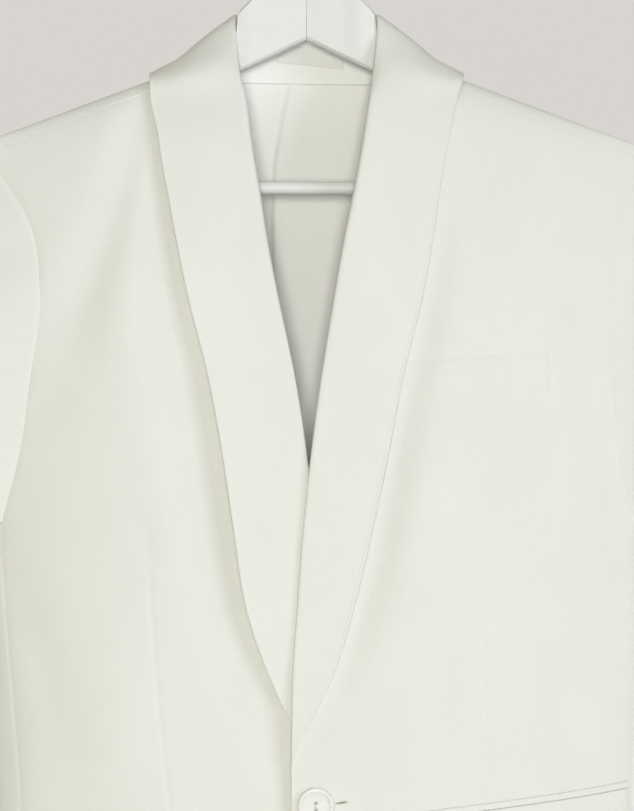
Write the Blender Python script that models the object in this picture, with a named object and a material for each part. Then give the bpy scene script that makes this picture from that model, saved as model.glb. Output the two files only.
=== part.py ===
"""An off-white one-button tuxedo jacket with a shawl collar, hanging on a white wooden hanger.

Metres, +Z up. The origin is the underside of the hook's crown, where a rail would carry it.
+X is the wearer's left, and the jacket's front faces -Y. Each cut piece of cloth is a wall of
its own: a grid of points on the garment's form, thickened inwards, with a small gap at seams.
"""

import math

import bmesh
import bpy
import numpy as np

# ---------------------------------------------------------------- driving sizes
CLOTH = 0.0014          # a panel: wool with its interlining
SHAWL_CLOTH = 0.0012    # each of the shawl's layers
LINING_CLOTH = 0.0010
SEAM_GAP = 0.0003
SIDE_SEAM_GAP = 0.0007  # at the side panel's seams, which lie at a slant to the fronts
SHOULDER_GAP = 0.0010   # the shoulder seam's gap, down its slope
HEM = -0.860            # height of the hem
SLEEVE_END = -0.820     # height of the cuff

SHOULDER_X = 0.213      # shoulder point
NECK_X = 0.066          # neck end of the shoulder seam
NECK_Z = -0.1345
SHOULDER_SLOPE = 0.385
SHOULDER_ROUND = 0.16   # drop over which the chest reaches its full depth
SEAM_FORWARD = 0.0077   # the shoulder seam lies this far below the ridge, on the front
BACK_NECK_RISE = 0.022  # the centre of the back neckline above the neck end of the shoulder
BACK_NECK_DEPTH = 0.036
SQUARENESS = 2.5        # exponent of the body's sections: 2 is an ellipse
UNDERLAP = 0.0066       # the wearer's right front lies this far behind the left one

BREAK_Z = -0.590        # where the lapels end and the front edge begins
CUTAWAY_Z = -0.700      # where the front edge starts to curve away to the hem
CUTAWAY_REACH = 0.075
PIT_Z = -0.436          # underarm
PIT_DIP = 0.008

BUTTON_X, BUTTON_Z = 0.0063, -0.6133
BUTTON_RADIUS, BUTTON_THICK = 0.0118, 0.0034

HOOK_WIRE = 0.0018      # radius
HOOK_RADIUS = 0.0195    # of the crown, to the middle of the wire
HANGER_TOP = -0.066
BAR_Z, BAR_Y, BAR_RADIUS, BAR_HALF = -0.219, -0.0155, 0.0042, 0.1790

COLOURS = {             # red, green, blue, roughness, metallic
    "cloth": (0.80, 0.81, 0.75, 0.85, 0.0),
    "shawl": (0.83, 0.83, 0.77, 0.70, 0.0),
    "lining": (0.74, 0.74, 0.68, 0.60, 0.0),
    "label": (0.86, 0.86, 0.83, 0.75, 0.0),
    "button": (0.78, 0.78, 0.72, 0.30, 0.0),
    "painted_wood": (0.78, 0.79, 0.77, 0.35, 0.0),
    "hook_metal": (0.72, 0.72, 0.72, 0.22, 1.0),
}


class Table:
    """Rows of named columns, read along the first one with a smooth curve through the rows."""

    def __init__(self, columns, rows):
        values = np.array(sorted(rows), float)
        self.key = values[:, 0]
        self.values = dict(zip(columns, values.T))

    def at(self, column, where):
        key, values = self.key, self.values[column]
        where = min(max(where, key[0]), key[-1])
        i = int(np.clip(np.searchsorted(key, where) - 1, 0, len(key) - 2))
        slopes = np.diff(values) / np.diff(key)
        left = slopes[i] if i == 0 else (slopes[i - 1] + slopes[i]) / 2
        right = slopes[i] if i == len(slopes) - 1 else (slopes[i] + slopes[i + 1]) / 2
        span = key[i + 1] - key[i]
        t = (where - key[i]) / span
        return (
            values[i] * (1 + 2 * t) * (1 - t) ** 2
            + left * span * t * (1 - t) ** 2
            + values[i + 1] * t * t * (3 - 2 * t)
            + right * span * t * t * (t - 1)
        )


# The body's sections. The jacket hangs a little to the wearer's left, so the halves differ.
BODY = Table(
    ("height", "half_right", "half_left", "front", "back"),
    (
        (-0.120, 0.240, 0.250, 0.050, 0.036),
        (-0.200, 0.238, 0.248, 0.051, 0.038),
        (-0.300, 0.230, 0.243, 0.0545, 0.041),
        (-0.400, 0.218, 0.236, 0.0575, 0.042),
        (-0.450, 0.212, 0.230, 0.0590, 0.041),
        (-0.600, 0.204, 0.224, 0.0600, 0.036),
        (-0.750, 0.211, 0.231, 0.0600, 0.040),
        (-0.860, 0.218, 0.238, 0.0600, 0.042),
    ),
)

# Outer edges of the fronts and backs: armhole down to the underarm, then the side seams.
OUTER = Table(
    ("height", "front_right", "front_left", "back_right", "back_left"),
    (
        (-0.180, 0.213, 0.213, 0.213, 0.213),
        (-0.195, 0.2085, 0.2125, 0.208, 0.211),
        (-0.215, 0.1955, 0.2062, 0.199, 0.205),
        (-0.235, 0.1825, 0.2010, 0.191, 0.199),
        (-0.262, 0.1725, 0.1973, 0.185, 0.193),
        (-0.300, 0.1722, 0.1961, 0.180, 0.189),
        (-0.350, 0.1778, 0.1966, 0.179, 0.190),
        (-0.393, 0.1850, 0.2005, 0.182, 0.194),
        (-0.415, 0.1905, 0.2055, 0.185, 0.198),
        (-0.436, 0.1965, 0.2115, 0.188, 0.202),
        (-0.490, 0.1950, 0.2130, 0.186, 0.202),
        (-0.540, 0.1900, 0.2125, 0.182, 0.199),
        (-0.622, 0.1835, 0.2100, 0.176, 0.194),
        (-0.750, 0.1850, 0.2080, 0.176, 0.194),
        (-0.860, 0.1880, 0.2100, 0.178, 0.196),
    ),
)

# The lapels on the front: where they fold, and their outer edges. Across is towards that side.
LAPEL = Table(
    ("height", "fold_right", "fold_left", "edge_right", "edge_left"),
    (
        (-0.160, 0.0384, 0.0402, 0.1015, 0.0979),
        (-0.177, 0.0365, 0.0378, 0.0970, 0.0941),
        (-0.204, 0.0325, 0.0335, 0.0925, 0.0884),
        (-0.228, 0.0285, 0.0290, 0.0877, 0.0843),
        (-0.255, 0.0243, 0.0235, 0.0825, 0.0801),
        (-0.2935, 0.0170, 0.0171, 0.0743, 0.0730),
        (-0.340, 0.0073, 0.0098, 0.0625, 0.0615),
        (-0.390, -0.0005, 0.0032, 0.0530, 0.0520),
        (-0.440, -0.0058, -0.0022, 0.0455, 0.0415),
        (-0.490, -0.0100, -0.0060, 0.0375, 0.0295),
        (-0.530, -0.0130, -0.0088, 0.0240, 0.0173),
        (-0.560, -0.0160, -0.0094, 0.0100, 0.0040),
        (-0.578, -0.0185, -0.0095, -0.0040, -0.0040),
        (-0.590, -0.0205, -0.0095, -0.0170, -0.0075),
    ),
)

# The collar round the neck, from the top of the lapel to the centre back: its fold, then its
# outer edge, which lies a drop below the ridge on the front (-1) or the back (1). The stand's
# foot is on the back neckline at a turn in degrees, or below the fold where that is negative.
COLLAR = (
    # fold_across, fold_depth, fold_height, edge_across, edge_drop, edge_face, foot
    (0.0430, -0.0260, -0.1440, 0.1015, 0.0050, -1, -0.012),
    (0.0452, -0.0155, -0.1225, 0.1030, 0.0002, 1, -0.020),
    (0.0460, -0.0045, -0.1055, 0.1015, 0.0060, 1, 2.0),
    (0.0440, 0.0080, -0.0990, 0.0940, 0.0140, 1, 22.0),
    (0.0360, 0.0190, -0.0970, 0.0760, 0.0225, 1, 44.0),
    (0.0220, 0.0270, -0.0965, 0.0470, 0.0330, 1, 66.0),
    (0.0002, 0.0300, -0.0965, 0.0002, 0.0420, 1, 90.0),
)

SLEEVE = Table(
    ("height", "half_width", "half_depth", "outward", "forward"),
    (
        (-0.475, 0.066, 0.048, 0.000, 0.004),
        (-0.560, 0.064, 0.046, -0.004, 0.007),
        (-0.640, 0.060, 0.043, -0.0085, 0.012),
        (-0.730, 0.056, 0.039, -0.0085, 0.020),
        (-0.820, 0.052, 0.036, -0.0060, 0.028),
    ),
)

# The hanger's arm: its upper and lower edges, and how far it curves forward.
ARM = Table(
    ("across", "upper", "lower", "forward", "half_thick"),
    (
        (0.0003, -0.0660, -0.1205, 0.000, 0.0065),
        (0.0120, -0.0670, -0.1262, 0.001, 0.0068),
        (0.0240, -0.0800, -0.1322, 0.002, 0.0070),
        (0.0360, -0.0945, -0.1382, 0.004, 0.0070),
        (0.0400, -0.1100, -0.1402, 0.004, 0.0064),
        (0.0450, -0.1290, -0.1430, 0.005, 0.0060),
        (0.0620, -0.1450, -0.1540, 0.008, 0.0064),
        (0.0750, -0.1540, -0.1640, 0.010, 0.0066),
        (0.1050, -0.1645, -0.1790, 0.0125, 0.0070),
        (0.1400, -0.1785, -0.1950, 0.0150, 0.0072),
        (0.1795, -0.1955, -0.2110, 0.0165, 0.0074),
    ),
)


# ---------------------------------------------------------------- the garment's form
def eased(value, start, end):
    t = min(max((value - start) / (end - start), 0.0), 1.0)
    return t * t * (3 - 2 * t)


def which(side):
    """Column ending: the wearer's left is +X."""
    return "left" if side > 0 else "right"


def ridge(across, back=False):
    """Depth and height of the shoulder's ridge, and of the back neckline inside it."""
    across = abs(across)
    depth = -0.009 - 0.085 * max(across - NECK_X, 0)
    height = NECK_Z - SHOULDER_SLOPE * (across - NECK_X)
    if back and across < NECK_X:
        inward = math.sqrt(1 - (across / NECK_X) ** 2)
        return depth + BACK_NECK_DEPTH * inward, NECK_Z + BACK_NECK_RISE * inward
    return depth, height


def form(x, z, face):
    """The cloth's outer surface at (x, z): face is -1 on the front and 1 on the back."""
    side = 1 if x > 0 else -1
    half = BODY.at("half_" + which(side), z)
    full = BODY.at("front" if face < 0 else "back", z)
    share = max(1 - min(abs(x) / half, 1.0) ** SQUARENESS, 0.0) ** (1 / SQUARENESS)
    start, top = ridge(x, face > 0)
    drop = min(max((top - z) / SHOULDER_ROUND, 0.0), 1.0)
    y = start + (face * full * share - start) * math.sqrt(1 - (1 - drop) ** 2)
    return np.array((x, y, z))


def front_form(x, z, side):
    """The front's surface. The wearer's right front passes behind the left one."""
    point = form(x, z, -1)
    if side < 0:
        point[1] += UNDERLAP * eased(x, -0.130, -0.045)
    return point


def front_edge(side, z):
    """How far across its own side a front's inner edge lies, at a height."""
    lap = -0.0095 if side > 0 else -0.0215
    if z > BREAK_Z:
        fold = LAPEL.at("fold_" + which(side), z) + 0.0026
        return fold + (NECK_X - 0.0008 - fold) * eased(z, -0.205, -0.1385)
    if z > CUTAWAY_Z:
        return lap + 0.0026 * eased(z, BREAK_Z - 0.02, BREAK_Z)
    turn = min((CUTAWAY_Z - z) / (CUTAWAY_Z - HEM), 1.0)
    return lap + (CUTAWAY_REACH - lap) * (1 - math.sqrt(1 - (0.985 * turn) ** 2))


def side_section(side, z, share, out=0.0):
    """A point of the side panel: share runs from the front seam round to the back seam."""
    half = BODY.at("half_" + which(side), z)
    ends = []
    for panel in ("front_", "back_"):
        seam = OUTER.at(panel + which(side), z) / half
        ends.append(math.acos(min(seam, 1.0) ** (SQUARENESS / 2)))
    angle = -ends[0] + (ends[0] + ends[1]) * share
    depth = BODY.at("front" if angle < 0 else "back", z)
    x = (half + out) * math.cos(angle) ** (2 / SQUARENESS)
    y = (depth + out) * abs(math.sin(angle)) ** (2 / SQUARENESS)
    return np.array((side * x, math.copysign(y, angle), z))


# ---------------------------------------------------------------- making solids
def material(name):
    made = bpy.data.materials.get(name)
    if made:
        return made
    red, green, blue, rough, metal = COLOURS[name]
    made = bpy.data.materials.new(name)
    made.use_nodes = True
    shader = made.node_tree.nodes["Principled BSDF"]
    shader.inputs["Base Color"].default_value = (red, green, blue, 1)
    shader.inputs["Roughness"].default_value = rough
    shader.inputs["Metallic"].default_value = metal
    made.diffuse_color = (red, green, blue, 1)
    return made


def add_object(name, mesh, finish, smooth=True):
    mesh.materials.append(material(finish))
    if smooth:
        mesh.shade_smooth()
        mesh.set_sharp_from_angle(angle=math.radians(40))
    made = bpy.data.objects.new(name, mesh)
    bpy.context.scene.collection.objects.link(made)
    return made


def grid_mesh(name, outer, inner):
    """A closed wall between two grids of points of the same size."""
    rows, columns = outer.shape[:2]
    mesh = bpy.data.meshes.new(name)
    points = [tuple(p) for grid in (outer, inner) for row in grid for p in row]
    half = rows * columns
    faces = []
    for r in range(rows - 1):
        for c in range(columns - 1):
            a = r * columns + c
            quad = (a, a + 1, a + 1 + columns, a + columns)
            faces.append(quad)
            faces.append(tuple(half + i for i in reversed(quad)))
    rim = list(range(columns))
    rim += [r * columns + columns - 1 for r in range(1, rows)]
    rim += [(rows - 1) * columns + c for c in range(columns - 2, -1, -1)]
    rim += [r * columns for r in range(rows - 2, 0, -1)]
    for a, b in zip(rim, rim[1:] + rim[:1]):
        faces.append((a, b, half + b, half + a))
    mesh.from_pydata(points, [], faces)
    shape = bmesh.new()
    shape.from_mesh(mesh)
    bmesh.ops.recalc_face_normals(shape, faces=shape.faces)
    bmesh.ops.triangulate(shape, faces=shape.faces)
    shape.to_mesh(mesh)
    shape.free()
    return mesh


def normals(grid, outward):
    """Unit normals of a grid, on the side that outward(point) points to at its middle."""
    found = np.cross(np.gradient(grid, axis=1), np.gradient(grid, axis=0))
    found /= np.linalg.norm(found, axis=2, keepdims=True)
    middle = grid.shape[0] // 2, grid.shape[1] // 2
    if found[middle] @ outward(grid[middle]) < 0:
        found = -found
    return found


def add_cloth(name, grid, outward, finish, thickness=CLOTH, lift=0.0):
    """Cloth whose outer face is the grid, lifted outwards, and whose thickness goes inwards."""
    grid = np.array(grid, float)
    found = normals(grid, outward)
    outer = grid + found * lift
    return add_object(name, grid_mesh(name, outer, outer - found * thickness), finish)


def forwards(_point):
    return np.array((0.0, -1.0, 0.0))


def backwards(_point):
    return np.array((0.0, 1.0, 0.0))


# ---------------------------------------------------------------- the body's panels
SHOULDER_COLUMNS = (0, 0.07, 0.2, 0.34, 0.48, 0.62, 0.75, 0.86, 0.94, 1.0)


def shoulder_share(across):
    """1 where the shoulder seam has come over to the front, 0 at the neckline."""
    return eased(abs(across), NECK_X + 0.001, NECK_X + 0.028)


def shoulder_end(side, drop=0.0):
    """Where a line that lies a drop below the ridge, on the front, meets the armhole."""
    x = SHOULDER_X
    for _ in range(8):
        z = ridge(x)[1] - drop
        x = min(OUTER.at("front_" + which(side), z), SHOULDER_X)
    return x, z


def make_front(side):
    """Rows run from the shoulder seam to the hem, columns from the front edge to the side."""
    seam_drop = SEAM_FORWARD + SHOULDER_GAP
    end_x, end_z = shoulder_end(side, seam_drop)
    neck_x = front_edge(side, NECK_Z)
    downs = (0, 0.02, 0.05, 0.075, 0.105, 0.14, 0.18, 0.23, 0.29, 0.35, 0.41, 0.47, 0.54)
    downs += (0.61, 0.69, 0.77, 0.84, 0.9, 0.955, 1.0)
    grid = []
    for down in downs:
        inner_z = NECK_Z + (HEM - NECK_Z) * down
        outer_z = end_z + (HEM - end_z) * down
        inner = front_edge(side, inner_z)
        outer = OUTER.at("front_" + which(side), outer_z) - SEAM_GAP
        row = []
        for over in SHOULDER_COLUMNS:
            x = inner + (outer - inner) * over
            seam_x = neck_x + (end_x - neck_x) * over
            drop = SHOULDER_GAP + (seam_drop - SHOULDER_GAP) * shoulder_share(seam_x)
            seam_z = ridge(seam_x)[1] - drop
            curved = seam_z + (HEM - seam_z) * down
            straight = inner_z + (outer_z - inner_z) * over
            z = curved + (straight - curved) * eased(down, 0.0, 0.3)
            row.append(front_form(side * x, z, side))
        grid.append(row)
    add_cloth(f"front_{which(side)}", grid, forwards, "cloth")


def make_back(side):
    """Rows run over the shoulder and down the back, columns from the centre seam out."""
    drops = (0.012, 0.035, 0.07, 0.115, 0.17, 0.24, 0.32, 0.42, 0.53, 0.64, 0.76, 0.88, 1)
    neck_share = NECK_X / SHOULDER_X
    overs = [neck_share * v for v in (0, 0.3, 0.56, 0.77, 0.92)]
    overs += [neck_share + (1 - neck_share) * v for v in SHOULDER_COLUMNS]
    grid = []
    for front_share, neck_drop in ((1, 0), (0.45, 0.0013), (0, 0.0026)):
        row = []
        outer = shoulder_end(side, SEAM_FORWARD * front_share)[0] - SEAM_GAP
        for over in overs:
            x = SEAM_GAP / 2 + over * (outer - SEAM_GAP / 2)
            share = shoulder_share(x)
            along = -SEAM_FORWARD * front_share * share + neck_drop * (1 - share)
            face = -1 if along < 0 else 1
            z = ridge(x, face > 0)[1] - abs(along)
            row.append(form(side * x, z, face))
        grid.append(row)
    end_x, end_z = shoulder_end(side)
    for drop in drops:
        outer_z = end_z * (1 - drop) + HEM * drop
        outer = OUTER.at("back_" + which(side), outer_z) - SEAM_GAP
        row = []
        for over in overs:
            x = SEAM_GAP / 2 + over * (outer - SEAM_GAP / 2)
            top = ridge(SEAM_GAP / 2 + over * (end_x - SEAM_GAP), True)[1]
            z = top * (1 - drop) + HEM * drop
            row.append(form(side * x, z, 1))
        grid.append(row)
    add_cloth(f"back_{which(side)}", grid, backwards, "cloth")


def pit_height(share):
    return PIT_Z - PIT_DIP * math.sin(math.pi * share)


def seam_margin(side, z, end):
    """The share of the side panel's section that the gap at one of its seams takes."""
    step = 0.01 if end == 0 else -0.01
    length = np.linalg.norm(side_section(side, z, end + step) - side_section(side, z, end))
    return SIDE_SEAM_GAP * abs(step) / length


def make_side_panel(side):
    grid = []
    for down in np.linspace(0, 1, 11):
        row = []
        for share in np.linspace(0, 1, 9):
            top = pit_height(share) - SEAM_GAP
            z = top + (HEM - top) * down
            first, last = seam_margin(side, z, 0), 1 - seam_margin(side, z, 1)
            row.append(side_section(side, z, first + (last - first) * share))
        grid.append(row)
    add_cloth(
        f"side_panel_{which(side)}", grid, lambda _p: np.array((side, 0.0, 0.0)), "cloth"
    )


# ---------------------------------------------------------------- sleeves
FRONT_TURN, BACK_TURN = 150, 210     # degrees round the armhole where the side panel begins and ends
SLEEVE_SEAMS = (125, 238)            # degrees where the two sleeve pieces meet
SLEEVE_GAP = 0.0013
HEAD_SLOPE = 0.62                    # how soon the sleeve's head turns down: 0 leaves level


def armhole(side, turn):
    """A point of the armhole: turn is 0 at the shoulder, 90 in front, 180 under the arm."""
    turn = turn % 360
    if FRONT_TURN < turn < BACK_TURN:
        share = (turn - FRONT_TURN) / (BACK_TURN - FRONT_TURN)
        return side_section(side, pit_height(share), share)
    front = turn <= FRONT_TURN
    share = turn / FRONT_TURN if front else (360 - turn) / (360 - BACK_TURN)
    top = shoulder_end(side)[1]
    z = top + (PIT_Z - top) * (1 - math.cos(math.pi * share)) / 2
    x = OUTER.at(("front_" if front else "back_") + which(side), z)
    return form(side * min(x, SHOULDER_X), z, -1 if front else 1)


def sleeve_ring(side, turn, z):
    """A point of the hanging sleeve below the underarm."""
    angle = math.radians(turn)
    pit_half = BODY.at("half_" + which(side), -0.475)
    middle = pit_half + 0.0045 + 0.066 + SLEEVE.at("outward", z)
    across = middle + SLEEVE.at("half_width", z) * math.cos(angle)
    depth = -SLEEVE.at("forward", z) - SLEEVE.at("half_depth", z) * math.sin(angle)
    return np.array((side * across, depth, z))


def sleeve_point(side, turn, along):
    """along runs 0 to 1 over the sleeve's head, then 1 to 2 down to the cuff."""
    if along >= 1:
        return sleeve_ring(side, turn, -0.475 + (SLEEVE_END + 0.475) * (along - 1))
    start = armhole(side, turn)
    start[0] += side * SLEEVE_GAP
    end = sleeve_ring(side, turn, -0.475)
    out, down = math.sin(along * math.pi / 2), 1 - math.cos(along * math.pi / 2)
    slope = HEAD_SLOPE * (1 + math.cos(math.radians(turn))) / 2
    down += slope * (along - down)
    share = np.array((out, out, down))
    return start + (end - start) * share


def make_sleeve(side):
    first, last = SLEEVE_SEAMS
    alongs = (0, 0.12, 0.27, 0.45, 0.65, 0.85, 1.0, 1.25, 1.5, 1.75, 2.0)
    for name, turns in (
        ("top_sleeve", np.linspace(last - 360 + 0.4, first - 0.4, 16)),
        ("under_sleeve", np.linspace(first + 0.4, last - 0.4, 8)),
    ):
        grid = [[sleeve_point(side, turn, along) for turn in turns] for along in alongs]
        inner = 1 if name == "top_sleeve" else -1
        add_cloth(
            f"{name}_{which(side)}",
            grid,
            lambda _p, way=inner: np.array((side * way, 0.0, 0.0)),
            "cloth",
        )


# ---------------------------------------------------------------- the shawl collar
LAPEL_LIFT = 0.0023      # the lapel's outer face above the front that it lies on
LAPEL_ROLL = 0.0028      # radius of the fold, round the front's edge
COLLAR_ROLL = 0.0021     # radius of the fold, round the neck
COLLAR_LIFT = 0.0062     # the collar's outer face above the shoulder
FACING_RETURN = 0.006    # how far the facing turns back inside the fold
LAPEL_HEIGHTS = (-0.588, -0.575, -0.555, -0.525, -0.49, -0.45, -0.40, -0.35, -0.30, -0.26)
LAPEL_HEIGHTS += (-0.23, -0.205, -0.182, -0.162)


def shoulder_height(x, y):
    """Height of the form's outer surface near the shoulder's ridge, over a point (x, y)."""
    face = -1 if y < ridge(x)[0] else 1
    start, top = ridge(x, face > 0)
    deep = form(x, top - SHOULDER_ROUND, face)[1]
    share = min(max((y - start) / (deep - start), 0.0), 1.0)
    return top - SHOULDER_ROUND * (1 - math.sqrt(1 - share * share))


def shawl_stations(side):
    """Fold, edge and foot of the stand, from the break point up and round to the centre back."""
    stations = []
    for z in LAPEL_HEIGHTS:
        fold = front_form(side * LAPEL.at("fold_" + which(side), z), z, side)
        edge = front_form(side * LAPEL.at("edge_" + which(side), z), z, side)
        stations.append((fold - (0, LAPEL_LIFT, 0), edge - (0, LAPEL_LIFT, 0), None))
    for fold_x, fold_y, fold_z, edge_x, drop, face, turn in COLLAR:
        fold = np.array((side * fold_x, fold_y, fold_z))
        height = ridge(edge_x, face > 0)[1]
        edge = form(side * edge_x, height - drop, face)
        edge += (0, face * 0.0030, 0)
        if turn < 0:
            foot = front_form(side * front_edge(side, fold_z + turn), fold_z + turn, side)
        else:
            across = NECK_X * math.cos(math.radians(turn))
            foot = np.array((side * across, *ridge(across, True)))
        stations.append((fold, edge, foot))
    return stations


def make_shawl(side):
    """Each row runs from the outer edge to the fold, round it, and down inside."""
    stations = shawl_stations(side)
    grid = []
    for i, (fold, edge, foot) in enumerate(stations):
        reach = (edge - fold) / np.linalg.norm(edge - fold)
        before = stations[max(i - 1, 0)][0]
        run = stations[min(i + 1, len(stations) - 1)][0] - before
        if i == len(stations) - 1:
            run = np.array((-side, 0.0, 0.0))
        out = -side * np.cross(run, reach)
        out /= np.linalg.norm(out)
        row = []
        for share in (0, 0.15, 0.34, 0.52, 0.7, 0.86, 0.96):
            point = edge + (fold - edge) * share
            if foot is None:
                lifted = front_form(point[0], point[2], side)[1] - LAPEL_LIFT
                point[1] = min(point[1], lifted)
            else:
                point = point + out * 0.002 * math.sin(math.pi * share)
                if abs(point[0]) > NECK_X - 0.006 or point[1] > 0.018:
                    lifted = shoulder_height(point[0], point[1]) + COLLAR_LIFT
                    point[2] = max(point[2], lifted)
            row.append(point)
        roll = LAPEL_ROLL if foot is None else COLLAR_ROLL
        for turn in (40, 90, 140, 180):
            angle = math.radians(turn)
            back = out * roll * (1 - math.cos(angle))
            row.append(fold - back - reach * roll * math.sin(angle))
        if foot is None:
            row.append(row[-1] + reach * FACING_RETURN / 2)
            row.append(row[-2] + reach * FACING_RETURN)
        else:
            stop = foot + 0.0022 * (row[-1] - foot) / np.linalg.norm(row[-1] - foot)
            row.append((row[-1] + stop) / 2)
            row.append(stop)
        grid.append(row)
    grid = np.array(grid)
    found = normals(grid, forwards)
    found[-1, :, 0] = 0
    found[-1] /= np.linalg.norm(found[-1], axis=1, keepdims=True)
    name = f"shawl_{which(side)}"
    add_object(name, grid_mesh(name, grid, grid - found * SHAWL_CLOTH), "shawl")


# ---------------------------------------------------------------- pockets, lining and label
WELT_LIFT = 0.0017
JET, JET_CLOTH, JET_LIFT = 0.0040, 0.0010, 0.0019
FLAP, FLAP_CLOTH, FLAP_LIFT = 0.0480, 0.0016, 0.0027
FACING_HALF = 0.052              # the back neck facing's half width
LINING_TOP, LINING_END = -0.1443, HEM + 0.03
LINING_HALF_TOP, LINING_HALF = 0.048, 0.140


def make_patch(name, corners, rows, columns, surface, outward, finish, thickness, lift):
    """A four-cornered piece made from a surface's own points: corners are (across, height)."""
    (ax, az), (bx, bz), (cx, cz), (dx, dz) = corners
    grid = []
    for v in np.linspace(0, 1, rows):
        row = []
        for u in np.linspace(0, 1, columns):
            x = (ax * (1 - u) + bx * u) * (1 - v) + (dx * (1 - u) + cx * u) * v
            z = (az * (1 - u) + bz * u) * (1 - v) + (dz * (1 - u) + cz * u) * v
            row.append(surface(x, z))
        grid.append(row)
    return add_cloth(name, grid, outward, finish, thickness, lift)


def strip(inner, outer, inner_z, outer_z, drop, depth):
    """Corners of a strip that hangs a drop below a slanting line, and is this deep."""
    tops = ((inner, inner_z - drop), (outer, outer_z - drop))
    return (*tops, (outer, outer_z - drop - depth), (inner, inner_z - drop - depth))


def make_pockets():
    """A welt on the chest, and a jet with a flap below it at each hip."""
    def on_left(x, z):
        return front_form(x, z, 1)

    def on_right(x, z):
        return front_form(x, z, -1)

    welt = ((0.0662, -0.3320), (0.1560, -0.3264), (0.1560, -0.3512), (0.0610, -0.3580))
    make_patch("breast_welt", welt, 3, 8, on_left, forwards, "cloth", 0.0013, WELT_LIFT)
    for name, surface, *line in (
        ("left", on_left, 0.0760, 0.2070, -0.6170, -0.6024),
        ("right", on_right, -0.0560, -0.1800, -0.6480, -0.6360),
    ):
        jet = strip(*line, 0.0, JET)
        flap = strip(*line, JET + 0.0004, FLAP)
        make_patch(
            f"pocket_jet_{name}", jet, 2, 9, surface, forwards, "cloth", JET_CLOTH, JET_LIFT
        )
        make_patch(
            f"pocket_flap_{name}", flap, 4, 9, surface, forwards, "cloth", FLAP_CLOTH, FLAP_LIFT
        )


def back_form(x, z):
    """The back's outer surface."""
    return form(x, z, 1)


def lining_seam(share):
    """Height of the seam below the neck facing: share is -1 to 1 across, and it falls a little."""
    return LINING_TOP - 0.0016 * (share + 1) / 2


def make_inside():
    """Inside the back of the neck: a facing, the lining below it, and a bare label on it."""
    rows = []
    for v in np.linspace(0, 1, 4):
        row = []
        for u in np.linspace(-1, 1, 13):
            x = FACING_HALF * u
            top = ridge(x, True)[1] - 0.0035
            row.append(back_form(x, top + (lining_seam(u) + 0.0005 - top) * v))
        rows.append(row)
    under = -(CLOTH + 0.0009)
    add_cloth("back_neck_facing", rows, backwards, "lining", LINING_CLOTH, under)
    rows = []
    for v in (0, 0.015, 0.035, 0.065, 0.1, 0.15, 0.22, 0.31, 0.42, 0.55, 0.7, 0.85, 1.0):
        half = LINING_HALF_TOP + (LINING_HALF - LINING_HALF_TOP) * eased(v, 0.0, 0.25)
        row = []
        for u in (-1, -0.75, -0.5, -0.3, -0.17, -0.13, 0, 0.2, 0.4, 0.6, 0.8, 1):
            top = lining_seam(u)
            row.append(back_form(half * u, top + (LINING_END - top) * v))
        rows.append(row)
    add_cloth("back_lining", rows, backwards, "lining", LINING_CLOTH, under - 0.0016)
    label = ((-0.0199, -0.1190), (0.0256, -0.1215), (0.0256, -0.1350), (-0.0199, -0.1300))
    under -= LINING_CLOTH + 0.0005
    make_patch("neck_label", label, 3, 5, back_form, backwards, "label", 0.0006, under)


# ---------------------------------------------------------------- button
def make_button():
    """A round button with a raised rim and two holes, one above the other."""
    shape = bmesh.new()
    profile = (
        (0.0, 0.0), (0.80, 0.0), (0.97, 0.22), (1.0, 0.55), (0.93, 0.95), (0.84, 1.0),
        (0.74, 0.80), (0.30, 0.72), (0.0, 0.72),
    )
    steps = 28
    rings = []
    for radius, height in profile[1:-1]:
        ring = []
        for step in range(steps):
            angle = 2 * math.pi * step / steps
            ring.append(
                shape.verts.new(
                    (
                        BUTTON_RADIUS * radius * math.cos(angle),
                        -BUTTON_THICK * height,
                        BUTTON_RADIUS * radius * math.sin(angle),
                    )
                )
            )
        rings.append(ring)
    bottom = shape.verts.new((0, 0, 0))
    top = shape.verts.new((0, -BUTTON_THICK * profile[-1][1], 0))
    for step in range(steps):
        after = (step + 1) % steps
        shape.faces.new((bottom, rings[0][step], rings[0][after]))
        shape.faces.new((top, rings[-1][after], rings[-1][step]))
        for low, high in zip(rings, rings[1:]):
            shape.faces.new((low[step], high[step], high[after], low[after]))
    bmesh.ops.recalc_face_normals(shape, faces=shape.faces)
    mesh = bpy.data.meshes.new("front_button")
    shape.to_mesh(mesh)
    shape.free()
    made = add_object("front_button", mesh, "button")
    seat = front_form(BUTTON_X, BUTTON_Z, 1)
    made.location = (BUTTON_X, seat[1] - 0.0006, BUTTON_Z)
    for share in (-1, 1):
        cutter_mesh = bpy.data.meshes.new("thread_hole")
        hole = bmesh.new()
        bmesh.ops.create_cone(
            hole, cap_ends=True, segments=12, radius1=0.0010, radius2=0.0010, depth=0.012
        )
        hole.to_mesh(cutter_mesh)
        hole.free()
        cutter = bpy.data.objects.new("thread_hole", cutter_mesh)
        bpy.context.scene.collection.objects.link(cutter)
        cutter.location = (BUTTON_X, seat[1], BUTTON_Z + share * 0.0019)
        cutter.rotation_euler = (math.radians(90), 0, 0)
        cutter.hide_render = True
        cutter.display_type = "WIRE"
        cut = made.modifiers.new("thread_hole", "BOOLEAN")
        cut.operation = "DIFFERENCE"
        cut.object = cutter


# ---------------------------------------------------------------- hanger
ARM_REACH, ARM_END = 0.1795, 0.189   # outside the first, the arm drops to take the bar


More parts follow.
